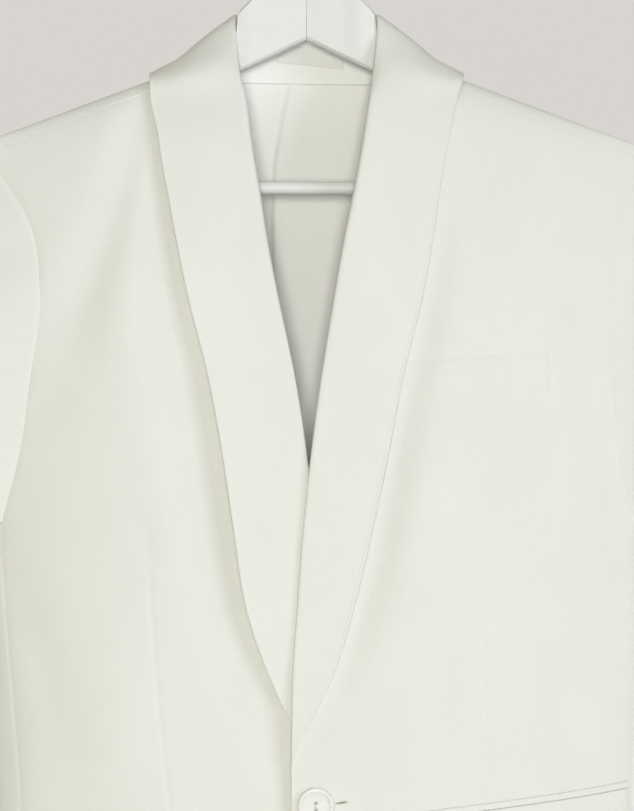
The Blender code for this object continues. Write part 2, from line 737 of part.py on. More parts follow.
def make_hanger_half(side):
    """One arm: sections with chamfered edges along its length, meeting the other at the middle."""
    chamfer = 0.0026
    stops = (0.0003, 0.012, 0.024, 0.036, 0.04, 0.045, 0.053, 0.062, 0.075, 0.1, 0.13, 0.16)
    stops += (ARM_REACH, ARM_REACH + 0.0007, ARM_END)
    shape = bmesh.new()
    rings = []
    for across in stops:
        reach = min(across, ARM_REACH)
        upper, lower = ARM.at("upper", reach), ARM.at("lower", reach)
        middle, thick = -ARM.at("forward", reach), ARM.at("half_thick", reach)
        if across > ARM_REACH:
            lower = BAR_Z - 0.0085
            upper -= 0.5 * (across - ARM_REACH)
        section = (
            (middle - thick + chamfer, upper),
            (middle + thick - chamfer, upper),
            (middle + thick, upper - chamfer),
            (middle + thick, lower + chamfer),
            (middle + thick - chamfer, lower),
            (middle - thick + chamfer, lower),
            (middle - thick, lower + chamfer),
            (middle - thick, upper - chamfer),
        )
        rings.append([shape.verts.new((side * across, y, z)) for y, z in section])
    for first, second in zip(rings, rings[1:]):
        for i in range(8):
            j = (i + 1) % 8
            shape.faces.new((first[i], first[j], second[j], second[i]))
    shape.faces.new(rings[0])
    shape.faces.new(list(reversed(rings[-1])))
    bmesh.ops.recalc_face_normals(shape, faces=shape.faces)
    bmesh.ops.triangulate(shape, faces=shape.faces)
    name = f"hanger_arm_{which(side)}"
    mesh = bpy.data.meshes.new(name)
    shape.to_mesh(mesh)
    shape.free()
    add_object(name, mesh, "painted_wood")


def make_rod(name, points, radius, finish, resolution=3):
    """A round rod or wire with closed ends along a line of points."""
    curve = bpy.data.curves.new(name, "CURVE")
    curve.dimensions = "3D"
    curve.bevel_depth = radius
    curve.bevel_resolution = resolution
    curve.use_fill_caps = True
    line = curve.splines.new("POLY")
    line.points.add(len(points) - 1)
    for place, point in zip(line.points, points):
        place.co = (*point, 1)
    curve.materials.append(material(finish))
    made = bpy.data.objects.new(name, curve)
    bpy.context.scene.collection.objects.link(made)
    return made


def make_hook():
    """A shank that leans out and comes back over the middle as a round crown."""
    centre = HOOK_WIRE - HOOK_RADIUS
    start, turn = -62, 205
    points = [(0, 0, HANGER_TOP + SEAM_GAP), (0, 0, HANGER_TOP + 0.010)]
    join_x = HOOK_RADIUS * math.cos(math.radians(start))
    join_z = centre + HOOK_RADIUS * math.sin(math.radians(start))
    low_z = HANGER_TOP + 0.010
    for t in (0.2, 0.4, 0.6, 0.8):
        share = t * t * (3 - 2 * t)
        points.append((join_x * share, 0, low_z + (join_z - low_z) * t))
    for step in range(25):
        angle = math.radians(start + (turn - start) * step / 24)
        points.append((HOOK_RADIUS * math.cos(angle), 0, centre + HOOK_RADIUS * math.sin(angle)))
    make_rod("hanger_hook", points, HOOK_WIRE, "hook_metal")


def make_hanger():
    for side in (-1, 1):
        make_hanger_half(side)
    ends = [(-BAR_HALF, BAR_Y, BAR_Z), (0, BAR_Y, BAR_Z), (BAR_HALF, BAR_Y, BAR_Z)]
    make_rod("hanger_bar", ends, BAR_RADIUS, "painted_wood", 4)
    make_hook()


def main():
    for old in list(bpy.data.objects):
        bpy.data.objects.remove(old)
    make_hanger()
    for side in (-1, 1):
        make_front(side)
        make_back(side)
        make_side_panel(side)
        make_sleeve(side)
        make_shawl(side)
    make_pockets()
    make_inside()
    make_button()


main()
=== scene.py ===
"""An off-white shawl-collared dinner jacket on a white wooden hanger: the looks.

Every cloth piece is a thin closed shell on the same form as its CAD solid, much finer, with its
folds pressed in. Metres, +Z up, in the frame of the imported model: the origin is under the crown
of the hook, +X is the wearer's left, and the jacket's front faces -Y.
"""

import math

import bmesh
import bpy
import numpy as np
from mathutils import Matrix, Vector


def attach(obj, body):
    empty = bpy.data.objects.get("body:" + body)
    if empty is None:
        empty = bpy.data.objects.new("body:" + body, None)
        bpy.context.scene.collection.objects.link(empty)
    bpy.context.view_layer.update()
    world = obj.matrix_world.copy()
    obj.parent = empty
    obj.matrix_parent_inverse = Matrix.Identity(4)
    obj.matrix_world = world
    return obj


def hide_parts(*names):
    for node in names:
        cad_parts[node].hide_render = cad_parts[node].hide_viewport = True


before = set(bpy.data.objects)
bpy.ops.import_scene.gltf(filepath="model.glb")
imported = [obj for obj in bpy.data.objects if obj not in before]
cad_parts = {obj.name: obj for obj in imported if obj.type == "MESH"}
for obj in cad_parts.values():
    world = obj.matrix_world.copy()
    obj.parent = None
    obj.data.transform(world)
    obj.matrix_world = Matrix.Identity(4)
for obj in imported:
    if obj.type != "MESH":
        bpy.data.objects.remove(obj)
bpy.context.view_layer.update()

# ---------------------------------------------------------------- driving sizes
CLOTH = 0.0014
SHAWL_CLOTH = 0.0012
LINING_CLOTH = 0.0010
HEM = -0.860
SLEEVE_END = -0.820

SHOULDER_X = 0.213
NECK_X = 0.066
NECK_Z = -0.1345
SHOULDER_SLOPE = 0.385
SHOULDER_ROUND = 0.16
SEAM_FORWARD = 0.0077
BACK_NECK_RISE = 0.022
BACK_NECK_DEPTH = 0.036
SQUARENESS = 2.5
UNDERLAP = 0.0066         # how far the wearer's right front passes behind the left one
UNDERLAP_FROM, UNDERLAP_FULL = -0.130, -0.045
LAP = {"left": -0.0092, "right": -0.0215}     # the front edges below the break
NECK_TURN = 0.0026       # how far the back's cloth comes over the neckline

BREAK_Z = -0.590
CUTAWAY_Z = -0.700
CUTAWAY_REACH = 0.075
PIT_Z = -0.436
PIT_DIP = 0.008
SLEEVE_TOP = -0.475      # where the sleeve's head becomes its tube

TUCK = 0.0020            # how far a panel's seam allowance goes under its neighbour
TUCK_DEPTH = 0.0018      # and how deep it lies there
SEAM_DIP = 0.0005        # how far the cloth dips at a pressed seam
SEAM_REACH = 0.0016

BUTTON_X, BUTTON_Z = 0.0063, -0.6133
BUTTON_RADIUS, BUTTON_THICK = 0.0118, 0.0034
HOOK_WIRE, HOOK_RADIUS = 0.0018, 0.0195
HANGER_TOP = -0.066
BAR_Z, BAR_Y, BAR_RADIUS, BAR_HALF = -0.219, -0.0155, 0.0042, 0.1790


# ---------------------------------------------------------------- tables and curves
class Table:
    """Rows of named columns, read along the first one with a smooth curve through the rows."""

    def __init__(self, columns, rows):
        values = np.array(sorted(rows), float)
        self.key = values[:, 0]
        self.values = dict(zip(columns, values.T))

    def at(self, column, where):
        key, values = self.key, self.values[column]
        where = np.clip(where, key[0], key[-1])
        i = np.clip(np.searchsorted(key, where) - 1, 0, len(key) - 2)
        slopes = np.diff(values) / np.diff(key)
        ends = np.concatenate((slopes[:1], (slopes[:-1] + slopes[1:]) / 2, slopes[-1:]))
        span = key[i + 1] - key[i]
        t = (where - key[i]) / span
        return (
            values[i] * (1 + 2 * t) * (1 - t) ** 2
            + ends[i] * span * t * (1 - t) ** 2
            + values[i + 1] * t * t * (3 - 2 * t)
            + ends[i + 1] * span * t * t * (t - 1)
        )


# The body's sections. The jacket hangs a little to the wearer's left, so the halves differ.
BODY = Table(
    ("height", "half_right", "half_left", "front", "back"),
    (
        (-0.120, 0.240, 0.250, 0.050, 0.036),
        (-0.200, 0.238, 0.248, 0.051, 0.038),
        (-0.300, 0.230, 0.243, 0.0545, 0.041),
        (-0.400, 0.218, 0.236, 0.0575, 0.042),
        (-0.450, 0.212, 0.230, 0.0590, 0.041),
        (-0.600, 0.204, 0.224, 0.0600, 0.036),
        (-0.750, 0.211, 0.231, 0.0600, 0.040),
        (-0.860, 0.218, 0.238, 0.0600, 0.042),
    ),
)

# Outer edges of the fronts and backs: armhole down to the underarm, then the side seams.
OUTER = Table(
    ("height", "front_right", "front_left", "back_right", "back_left"),
    (
        (-0.180, 0.213, 0.213, 0.213, 0.213),
        (-0.195, 0.2085, 0.2125, 0.208, 0.211),
        (-0.215, 0.1955, 0.2062, 0.199, 0.205),
        (-0.235, 0.1825, 0.2010, 0.191, 0.199),
        (-0.262, 0.1725, 0.1973, 0.185, 0.193),
        (-0.300, 0.1722, 0.1961, 0.180, 0.189),
        (-0.350, 0.1778, 0.1966, 0.179, 0.190),
        (-0.393, 0.1850, 0.2005, 0.182, 0.194),
        (-0.415, 0.1905, 0.2055, 0.185, 0.198),
        (-0.436, 0.1965, 0.2115, 0.188, 0.202),
        (-0.490, 0.1950, 0.2130, 0.186, 0.202),
        (-0.540, 0.1900, 0.2125, 0.182, 0.199),
        (-0.622, 0.1835, 0.2100, 0.176, 0.194),
        (-0.750, 0.1850, 0.2080, 0.176, 0.194),
        (-0.860, 0.1880, 0.2100, 0.178, 0.196),
    ),
)

# The lapels on the front: where they fold, their outer edges, and how far the edges stand off.
LAPEL = Table(
    ("height", "fold_right", "fold_left", "edge_right", "edge_left", "lift_right", "lift_left"),
    (
        (-0.160, 0.0384, 0.0402, 0.1015, 0.0979, 0.0034, 0.0030),
        (-0.177, 0.0365, 0.0378, 0.0970, 0.0941, 0.0036, 0.0027),
        (-0.204, 0.0325, 0.0335, 0.0925, 0.0884, 0.0042, 0.0025),
        (-0.228, 0.0285, 0.0290, 0.0877, 0.0843, 0.0048, 0.0025),
        (-0.255, 0.0243, 0.0235, 0.0825, 0.0801, 0.0054, 0.0034),
        (-0.2935, 0.0170, 0.0171, 0.0743, 0.0730, 0.0062, 0.0036),
        (-0.340, 0.0073, 0.0098, 0.0625, 0.0615, 0.0068, 0.0036),
        (-0.390, -0.0005, 0.0032, 0.0530, 0.0520, 0.0070, 0.0034),
        (-0.440, -0.0058, -0.0022, 0.0455, 0.0415, 0.0066, 0.0032),
        (-0.490, -0.0100, -0.0060, 0.0375, 0.0295, 0.0056, 0.0031),
        (-0.530, -0.0130, -0.0088, 0.0240, 0.0173, 0.0042, 0.0029),
        (-0.560, -0.0160, -0.0094, 0.0100, 0.0028, 0.0030, 0.0026),
        (-0.578, -0.0185, -0.0095, -0.0040, -0.0062, 0.0024, 0.0023),
        (-0.590, -0.0205, -0.0095, -0.0170, -0.0088, 0.0022, 0.0020),
    ),
)

# The collar round the neck, from the top of the lapel to the centre back: its fold, then its
# outer edge, which lies a drop below the ridge on the front (-1) or the back (1). The stand's
# foot is on the back neckline at a turn in degrees, or below the fold where that is negative.
COLLAR = (
    # fold_across, fold_depth, fold_height, edge_across, edge_drop, edge_face, foot
    (0.0430, -0.0260, -0.1440, 0.1015, 0.0050, -1, -0.012),
    (0.0452, -0.0155, -0.1225, 0.1030, 0.0002, 1, -0.020),
    (0.0460, -0.0045, -0.1075, 0.1015, 0.0060, 1, 2.0),
    (0.0440, 0.0080, -0.1025, 0.0940, 0.0140, 1, 22.0),
    (0.0360, 0.0190, -0.1005, 0.0760, 0.0225, 1, 44.0),
    (0.0220, 0.0270, -0.0995, 0.0470, 0.0330, 1, 66.0),
    (0.0002, 0.0300, -0.0990, 0.0002, 0.0420, 1, 90.0),
)

SLEEVE = Table(
    ("height", "half_width", "half_depth", "outward", "forward"),
    (
        (-0.475, 0.066, 0.048, 0.000, 0.004),
        (-0.560, 0.064, 0.046, -0.004, 0.007),
        (-0.640, 0.060, 0.043, -0.0085, 0.012),
        (-0.730, 0.056, 0.039, -0.0085, 0.020),
        (-0.820, 0.052, 0.036, -0.0060, 0.028),
    ),
)

# The hanger's arm: its upper and lower edges, and how far it curves forward.
ARM = Table(
    ("across", "upper", "lower", "forward", "half_thick"),
    (
        (0.0003, -0.0660, -0.1205, 0.000, 0.0065),
        (0.0120, -0.0670, -0.1262, 0.001, 0.0068),
        (0.0240, -0.0800, -0.1322, 0.002, 0.0070),
        (0.0360, -0.0945, -0.1382, 0.004, 0.0070),
        (0.0434, -0.1022, -0.1415, 0.004, 0.0064),
        (0.0447, -0.1044, -0.1422, 0.004, 0.0062),
        (0.0453, -0.1090, -0.1425, 0.005, 0.0061),
        (0.0458, -0.1165, -0.1428, 0.005, 0.0060),
        (0.0465, -0.1300, -0.1436, 0.005, 0.0060),
        (0.0620, -0.1450, -0.1540, 0.008, 0.0064),
        (0.0750, -0.1540, -0.1640, 0.010, 0.0066),
        (0.1050, -0.1645, -0.1790, 0.0125, 0.0070),
        (0.1400, -0.1785, -0.1950, 0.0150, 0.0072),
        (0.1795, -0.1955, -0.2110, 0.0165, 0.0074),
    ),
)

# The waist dart of each front, from its point to the hip pocket.
DART = Table(
    ("height", "right", "left"),
    (
        (-0.180, 0.1080, 0.1080),
        (-0.420, 0.1010, 0.1106),
        (-0.484, 0.0985, 0.1120),
        (-0.560, 0.0929, 0.1138),
        (-0.611, 0.0872, 0.1185),
        (-0.650, 0.0835, 0.1195),
        (-0.860, 0.0800, 0.1200),
    ),
)
DART_TOP = {"right": -0.449, "left": -0.419}
DART_END = {"right": -0.642, "left": -0.612}
DART_FADE = 0.03          # over which the seam deepens from the dart's point


def smooth_line(points, steps):
    """Points of a smooth curve through these, with this many steps between each two."""
    points = np.asarray(points, float)
    before_first = 2 * points[:1] - points[1:2]
    after_last = 2 * points[-1:] - points[-2:-1]
    padded = np.concatenate((before_first, points, after_last))
    made = []
    for before, first, second, after in zip(padded, padded[1:], padded[2:], padded[3:]):
        for t in np.arange(steps) / steps:
            bend = 2 * before - 5 * first + 4 * second - after
            twist = 3 * first - before - 3 * second + after
            made.append(first + ((second - before) * t + bend * t * t + twist * t**3) / 2)
    made.append(points[-1])
    return np.array(made)


def eased(value, start, end):
    t = np.clip((value - start) / (end - start), 0.0, 1.0)
    return t * t * (3 - 2 * t)


def which(side):
    """Column ending: the wearer's left is +X."""
    return "left" if side > 0 else "right"


# ---------------------------------------------------------------- folds in the cloth
# Each fold is a smooth line of stops. A stop is its place on the piece (across, height), how deep
# the cloth is pressed in there (a ridge is negative), and how far the fold reaches to the lower
# and the higher side across. All are in millimetres, unlike the rest of the script. On a sleeve,
# across is 1 mm for each degree round it.
FOLD_STEPS = 6
FOLD_BLEND = 0.0025      # over which the parts of a fold's line run into each other
SIDE_BLEND = 0.003       # over which its reach changes from one side to the other
FOLDS = {
    "front_right": (
        # the hollow beside the lapel
        ((-104, -148, 0, 8, 8), (-100, -185, 2.6, 12, 10), (-91, -245, 5.2, 15, 12),
         (-77, -315, 6.6, 18, 14), (-63, -380, 7, 20, 15), (-52, -440, 6.8, 20, 15),
         (-41, -495, 6, 19, 14), (-27, -545, 4.6, 16, 12), (-15, -585, 2.6, 13, 10),
         (-10, -625, 0, 8, 8)),
        # the soft swell outside it
        ((-128, -225, 0, 16, 14), (-115, -300, -1.2, 18, 15), (-98, -375, -1.6, 20, 16),
         (-85, -450, -1.6, 22, 16), (-68, -520, -1.2, 22, 15), (-48, -590, -0.8, 20, 14),
         (-40, -660, 0, 18, 14)),
        # the drag line from the neck over the chest
        ((-104, -152, 0, 8, 10), (-113, -190, 3, 12, 11), (-125, -245, 4.4, 18, 14),
         (-144, -296, 4.2, 22, 18), (-162, -340, 2.8, 24, 24), (-176, -400, 0, 16, 28)),
        # the dimple at the dart's point
        ((-104, -430, 0, 8, 8), (-101, -449, 1.1, 8, 8), (-99, -470, 0, 9, 9)),
        # from the underarm towards the waist
        ((-193, -452, 0, 10, 12), (-178, -500, 1.6, 12, 16), (-160, -560, 1.4, 14, 18),
         (-148, -640, 0, 16, 20)),
        # skirt
        ((-135, -690, 0, 20, 20), (-132, -770, 2.2, 22, 26), (-128, -862, 3, 24, 28)),
        ((-76, -660, 0, 20, 16), (-80, -760, -1.6, 24, 20), (-84, -862, -2.2, 26, 22)),
    ),
    "front_left": (
        # the shallow trough beside the lapel
        ((92, -180, 0, 9, 10), (86, -235, 3, 12, 12), (78, -285, 5, 14, 14), (68, -330, 6.2, 14, 15),
         (58, -375, 6.2, 14, 14), (51, -410, 6, 14, 14), (41, -459, 5.8, 14, 14), (28, -509, 5.2, 12, 13),
         (13, -552, 1.6, 9, 12), (1, -578, 0.7, 8, 11), (-6, -600, 0, 8, 9)),
        # the soft swell outside it
        ((96, -340, 0, 12, 18), (78, -410, -1, 12, 20), (69, -465, -1.4, 13, 22),
         (56, -520, -1.2, 14, 22), (45, -580, 0, 14, 22)),
        # from the neck over the chest
        ((108, -158, 0, 12, 8), (121, -215, 1.4, 16, 12), (134, -270, 1.4, 20, 16),
         (142, -320, 0, 22, 18)),
        # beside the armhole
        ((185, -225, 0, 12, 10), (178, -290, 1.4, 14, 10), (182, -370, 1.2, 14, 10),
         (196, -430, 0, 12, 8)),
        # the dart's point
        ((110, -402, 0, 7, 7), (110.6, -419, 0.7, 7, 7), (111.2, -440, 0, 8, 8)),
        # from the underarm towards the waist
        ((208, -455, 0, 12, 10), (190, -510, 1.4, 16, 12), (168, -570, 0, 18, 14)),
        # skirt
        ((148, -680, 0, 20, 20), (150, -770, 2, 24, 22), (147, -862, 2.8, 26, 24)),
        ((88, -690, 0, 18, 20), (94, -780, -1.8, 20, 24), (98, -862, -2.4, 22, 26)),
    ),
    "back_right": (
        ((-70, -175, 0, 16, 16), (-95, -235, 1.6, 20, 18), (-130, -300, 2, 24, 20),
         (-156, -372, 0, 26, 22)),
        ((-172, -400, 0, 10, 16), (-150, -480, 2.4, 14, 20), (-126, -575, 2.6, 16, 22),
         (-116, -690, 0, 18, 24)),
        ((-55, -520, 0, 20, 18), (-62, -620, -1.8, 22, 20), (-70, -740, -2.6, 26, 22),
         (-74, -862, -3, 28, 24)),
        ((-133, -660, 0, 18, 20), (-136, -770, 2.4, 20, 24), (-134, -862, 3.2, 22, 26)),
    ),
    "back_left": (
        ((64, -180, 0, 16, 16), (104, -228, 1.4, 18, 20), (142, -280, 2, 20, 24), (168, -345, 0, 22, 26)),
        ((188, -420, 0, 16, 10), (164, -500, 2.2, 20, 14), (138, -600, 2.2, 22, 16),
         (126, -700, 0, 24, 18)),
        ((48, -480, 0, 18, 20), (56, -600, -1.6, 20, 22), (66, -730, -2.4, 22, 26),
         (70, -862, -2.8, 24, 28)),
        ((146, -690, 0, 20, 18), (150, -780, 2.2, 24, 20), (148, -862, 3, 26, 22)),
    ),
    "top_sleeve_left": (
        ((20, -235, 0, 10, 12), (30, -300, 2, 14, 16), (34, -400, 2.2, 16, 20), (30, -520, 0, 18, 22)),
        ((70, -260, 0, 12, 10), (74, -330, 1.8, 14, 12), (80, -420, 2.4, 18, 14), (76, -540, 0, 20, 16)),
        ((118, -610, 0, 10, 12), (86, -628, 3, 12, 14), (50, -650, 2, 14, 16), (20, -680, 0, 16, 18)),
        ((120, -665, 0, 10, 12), (92, -676, 2.2, 10, 12), (60, -700, 0, 12, 14)),
        ((-40, -300, 0, 14, 16), (-34, -420, 2.4, 18, 20), (-26, -560, 1.8, 20, 22),
         (-20, -700, 0, 20, 22)),
    ),
    "top_sleeve_right": (
        ((44, -252, 0, 5, 5), (51, -266.6, 2.4, 5, 5), (58, -279, 1.8, 5, 5), (66, -290, 0, 5, 5)),
        ((16, -240, 0, 10, 12), (24, -310, 2.2, 14, 16), (30, -410, 2, 16, 20), (34, -500, 0, 18, 22)),
        ((80, -250, 0, 12, 10), (86, -320, 2, 14, 12), (84, -400, 2.2, 18, 14), (74, -520, 0, 20, 16)),
        ((120, -598, 0, 10, 12), (90, -620, 2.8, 12, 14), (56, -646, 2.2, 14, 16), (24, -668, 0, 16, 18)),
        ((118, -650, 0, 10, 12), (88, -668, 2, 10, 12), (58, -688, 0, 12, 14)),
        ((-46, -320, 0, 14, 16), (-38, -440, 2.2, 18, 20), (-30, -580, 2, 20, 22),
         (-22, -720, 0, 20, 22)),
    ),
    "under_sleeve_left": (
        ((150, -500, 0, 12, 12), (170, -600, 2, 14, 14), (178, -720, 0, 16, 16)),
        ((205, -560, 0, 12, 12), (200, -640, 2.4, 12, 14), (190, -700, 0, 14, 16)),
    ),
    "under_sleeve_right": (
        ((152, -510, 0, 12, 12), (168, -610, 2.2, 14, 14), (176, -730, 0, 16, 16)),
        ((210, -570, 0, 12, 12), (202, -650, 2, 12, 14), (192, -705, 0, 14, 16)),
    ),
    "shawl_right": (
        ((-50, -215, 0, 14, 14), (-46, -290, 0.8, 14, 14), (-34, -370, 0, 14, 14)),
    ),
    "shawl_left": (
        ((62, -200, 0, 14, 14), (52, -280, 0.6, 14, 14), (40, -350, 0, 14, 14)),
    ),
}


def folds(piece, across, height):
    """How far the cloth of a piece is pressed in at each place on it."""
    across, height = np.broadcast_arrays(np.asarray(across, float), np.asarray(height, float))
    total = np.zeros(across.shape)
    for stops in FOLDS.get(piece, ()):
        line = smooth_line(np.array(stops) / 1000, FOLD_STEPS)
        weights = np.full(across.shape, 1e-200)
        found = np.zeros(across.shape)
        for a, b in zip(line, line[1:]):
            run = b[:2] - a[:2]
            t = ((across - a[0]) * run[0] + (height - a[1]) * run[1]) / (run @ run)
            t = np.clip(t, 0, 1)
            away_x = across - a[0] - t * run[0]
            away_z = height - a[1] - t * run[1]
            distance = np.hypot(away_x, away_z)
            depth, low, high = (a[i] + (b[i] - a[i]) * t for i in (2, 3, 4))
            reach = low + (high - low) * eased(away_x, -SIDE_BLEND, SIDE_BLEND)
            weight = np.exp(-distance / FOLD_BLEND)
            found += weight * depth * np.exp(-((distance / reach) ** 2))
            weights += weight
        total += found / weights
    return total


def seam_dip(distance):
    """The cloth's dip at a distance from a pressed seam."""
    return SEAM_DIP * np.exp(-((distance / SEAM_REACH) ** 2))


# ---------------------------------------------------------------- the garment's form
def ridge(across, back=False):
    """Depth and height of the shoulder's ridge, and of the back neckline inside it."""
    across = np.abs(across)
    depth = -0.009 - 0.085 * np.maximum(across - NECK_X, 0)
    height = NECK_Z - SHOULDER_SLOPE * (across - NECK_X)
    if back:
        inward = np.sqrt(np.clip(1 - (across / NECK_X) ** 2, 0, 1))
        inside = across < NECK_X
        depth = np.where(inside, depth + BACK_NECK_DEPTH * inward, depth)
        height = np.where(inside, NECK_Z + BACK_NECK_RISE * inward, height)
    return depth, height


def form(x, z, face):
    """The cloth's outer surface at (x, z): face is -1 on the front and 1 on the back."""
    x, z = np.broadcast_arrays(np.asarray(x, float), np.asarray(z, float))
    half = np.where(x > 0, BODY.at("half_left", z), BODY.at("half_right", z))
    full = BODY.at("front" if face < 0 else "back", z)
    share = (1 - np.minimum(np.abs(x) / half, 1) ** SQUARENESS) ** (1 / SQUARENESS)
    start, top = ridge(x, face > 0)
    drop = np.clip((top - z) / SHOULDER_ROUND, 0, 1)
    y = start + (face * full * share - start) * np.sqrt(1 - (1 - drop) ** 2)
    return np.stack((x, y, z), axis=-1)


def front_form(x, z, side):
    """The front's smooth surface. The wearer's right front passes behind the left one."""
    points = form(x, z, -1)
    if side < 0:
        points[..., 1] += UNDERLAP * eased(points[..., 0], UNDERLAP_FROM, UNDERLAP_FULL)
    return points


def front_surface(x, z, side):
    """The front's surface with its folds and its dart."""
    points = front_form(x, z, side)
    across, height = points[..., 0], points[..., 2]
    name = which(side)
    pressed = folds(f"front_{name}", across, height)
    sewn = eased(height, DART_TOP[name], DART_TOP[name] - DART_FADE)
    sewn = sewn * eased(height, DART_END[name] - 0.004, DART_END[name])
    pressed += 0.9 * seam_dip(across - side * DART.at(name, height)) * sewn
    points[..., 1] += pressed
    return points


def back_surface(x, z):
    """The back's surface with its folds and its centre seam."""
    points = form(x, z, 1)
    across, height = points[..., 0], points[..., 2]
    pressed = np.where(across > 0, folds("back_left", across, height), 0)
    pressed += np.where(across <= 0, folds("back_right", across, height), 0)
    points[..., 1] -= pressed + seam_dip(across)
    return points


def front_edge(side, z):
    """How far across its own side a front's inner edge lies, at a height."""
    lap = LAP[which(side)]
    fold = LAPEL.at("fold_" + which(side), z) + 0.0026 * eased(z, BREAK_Z, BREAK_Z + 0.018)
    upper = fold + (NECK_X - 0.0008 - fold) * eased(z, -0.205, -0.1385)
    turn = np.clip((CUTAWAY_Z - z) / (CUTAWAY_Z - HEM), 0, 1)
    lower = lap + (CUTAWAY_REACH - lap) * (1 - np.sqrt(1 - (0.985 * turn) ** 2))
    return np.where(z > BREAK_Z, upper, np.where(z > CUTAWAY_Z, lap, lower))


def side_section(side, z, share, out=0.0):
    """A point of the side panel: share runs from the front seam round to the back seam."""
    half = BODY.at("half_" + which(side), z)
    ends = []
    for panel in ("front_", "back_"):
        seam = np.minimum(OUTER.at(panel + which(side), z) / half, 1)
        ends.append(np.arccos(seam ** (SQUARENESS / 2)))
    angle = -ends[0] + (ends[0] + ends[1]) * share
    depth = np.where(angle < 0, BODY.at("front", z), BODY.at("back", z))
    x = (half + out) * np.cos(angle) ** (2 / SQUARENESS)
    y = (depth + out) * np.abs(np.sin(angle)) ** (2 / SQUARENESS)
    return np.stack(np.broadcast_arrays(side * x, np.copysign(y, angle), z), axis=-1)


# ---------------------------------------------------------------- making shells
def rim_places(rows, columns):
    """Rows and columns of a grid's edge points, all the way round."""
    around = [(0, c) for c in range(columns)]
    around += [(r, columns - 1) for r in range(1, rows)]
    around += [(rows - 1, c) for c in range(columns - 2, -1, -1)]
    around += [(r, 0) for r in range(rows - 2, 0, -1)]
    return around


def finished_mesh(shape, name):
    """The built shape as a mesh, with all its faces turned outward."""
    bmesh.ops.recalc_face_normals(shape, faces=shape.faces)
    mesh = bpy.data.meshes.new(name)
    shape.to_mesh(mesh)
    shape.free()
    return mesh


def shell_mesh(name, outer, inner):
    """A closed wall between two grids of points, with a rounded rim."""
    rows, columns = outer.shape[:2]
    around = np.array(rim_places(rows, columns))
    within = np.stack(
        (np.clip(around[:, 0], 1, rows - 2), np.clip(around[:, 1], 1, columns - 2)), axis=1
    )
    rim_outer = outer[around[:, 0], around[:, 1]]
    rim_inner = inner[around[:, 0], around[:, 1]]
    away = rim_outer - outer[within[:, 0], within[:, 1]]
    away /= np.linalg.norm(away, axis=1, keepdims=True)
    thick = np.linalg.norm(rim_outer - rim_inner, axis=1, keepdims=True)
    middle = (rim_outer + rim_inner) / 2 + away * thick * 0.2
    points = np.concatenate((outer.reshape(-1, 3), inner.reshape(-1, 3), middle))
    count = rows * columns
    corner = (np.arange(rows - 1)[:, None] * columns + np.arange(columns - 1)).ravel()
    quads = np.stack((corner, corner + 1, corner + 1 + columns, corner + columns), axis=1)
    first = around[:, 0] * columns + around[:, 1]
    second = np.roll(first, -1)
    between = 2 * count + np.arange(len(around))
    after = np.roll(between, -1)
    faces = np.concatenate(
        (
            quads,
            count + quads[:, ::-1],
            np.stack((second, first, between, after), axis=1),
            np.stack((after, between, count + first, count + second), axis=1),
        )
    )
    mesh = bpy.data.meshes.new(name)
    mesh.from_pydata(points.tolist(), [], faces.tolist())
    shape = bmesh.new()
    shape.from_mesh(mesh)
    bmesh.ops.recalc_face_normals(shape, faces=shape.faces)
    shape.to_mesh(mesh)
    shape.free()
    mesh.shade_smooth()
    return mesh


def grid_normals(grid, outward):
    """Unit normals of a grid, on the side that the direction points to at its middle."""
    found = np.cross(np.gradient(grid, axis=1), np.gradient(grid, axis=0))
    found /= np.maximum(np.linalg.norm(found, axis=2, keepdims=True), 1e-12)
    middle = grid.shape[0] // 2, grid.shape[1] // 2
    return found if found[middle] @ np.array(outward, float) > 0 else -found


def show(made, node, finish):
    """Link a piece, give it its material, and hide the CAD part that it stands for, if any."""
    if made.name not in bpy.context.scene.collection.objects:
        bpy.context.scene.collection.objects.link(made)
    made.data.materials.clear()
    made.data.materials.append(finish)
    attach(made, "root")
    if node:
        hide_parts(node)
    return made


RIM_CELL = 0.0002


def with_edges(grid):
    """Narrow cells along a grid's edges, so that each face stays flat up to its rim."""
    for _ in range(2):
        made = [grid[:1]]
        for border, beside in ((0, 1), (-1, -2)):
            step = grid[beside] - grid[border]
            length = np.linalg.norm(step, axis=-1, keepdims=True)
            made.append((grid[border] + step * np.minimum(0.4, RIM_CELL / length))[None])
        grid = np.concatenate((*made[:2], grid[1:-1], made[2], grid[-1:])).swapaxes(0, 1)
    return grid


def add_cloth(node, grid, outward, finish, thickness=CLOTH, lift=0.0, pressed=None):
    """A cloth piece: its outer face is the grid, lifted out, less what is pressed in."""
    found = grid_normals(grid, outward)
    outer = grid + found * lift
    if pressed is not None:
        outer = outer - found * pressed[..., None]
    inner = outer - found * thickness
    mesh = shell_mesh(f"{node}_cloth", with_edges(outer), with_edges(inner))
    return show(bpy.data.objects.new(mesh.name, mesh), node, finish)


# ---------------------------------------------------------------- materials
def new_material(name, colour, rough):
    """A Principled material, with its node tree ready for more."""
    made = bpy.data.materials.new(name)
    made.use_nodes = True
    tree = made.node_tree
    shader = tree.nodes["Principled BSDF"]
    shader.inputs["Base Color"].default_value = (*colour, 1)
    shader.inputs["Roughness"].default_value = rough
    made.diffuse_color = (*colour, 1)
    return made, tree, shader


def stretched_noise(tree, size, detail=2.0):
    """Noise in object space whose grains are this large, in metres, along X, Y and Z."""
    where = tree.nodes.new("ShaderNodeTexCoord")
    scaled = tree.nodes.new("ShaderNodeMapping")
    scaled.inputs["Scale"].default_value = tuple(1 / s for s in size)
    noise = tree.nodes.new("ShaderNodeTexNoise")
    noise.inputs["Scale"].default_value = 1.0
    noise.inputs["Detail"].default_value = detail
    tree.links.new(where.outputs["Object"], scaled.inputs["Vector"])
    tree.links.new(scaled.outputs["Vector"], noise.inputs["Vector"])
    return noise.outputs["Fac"]


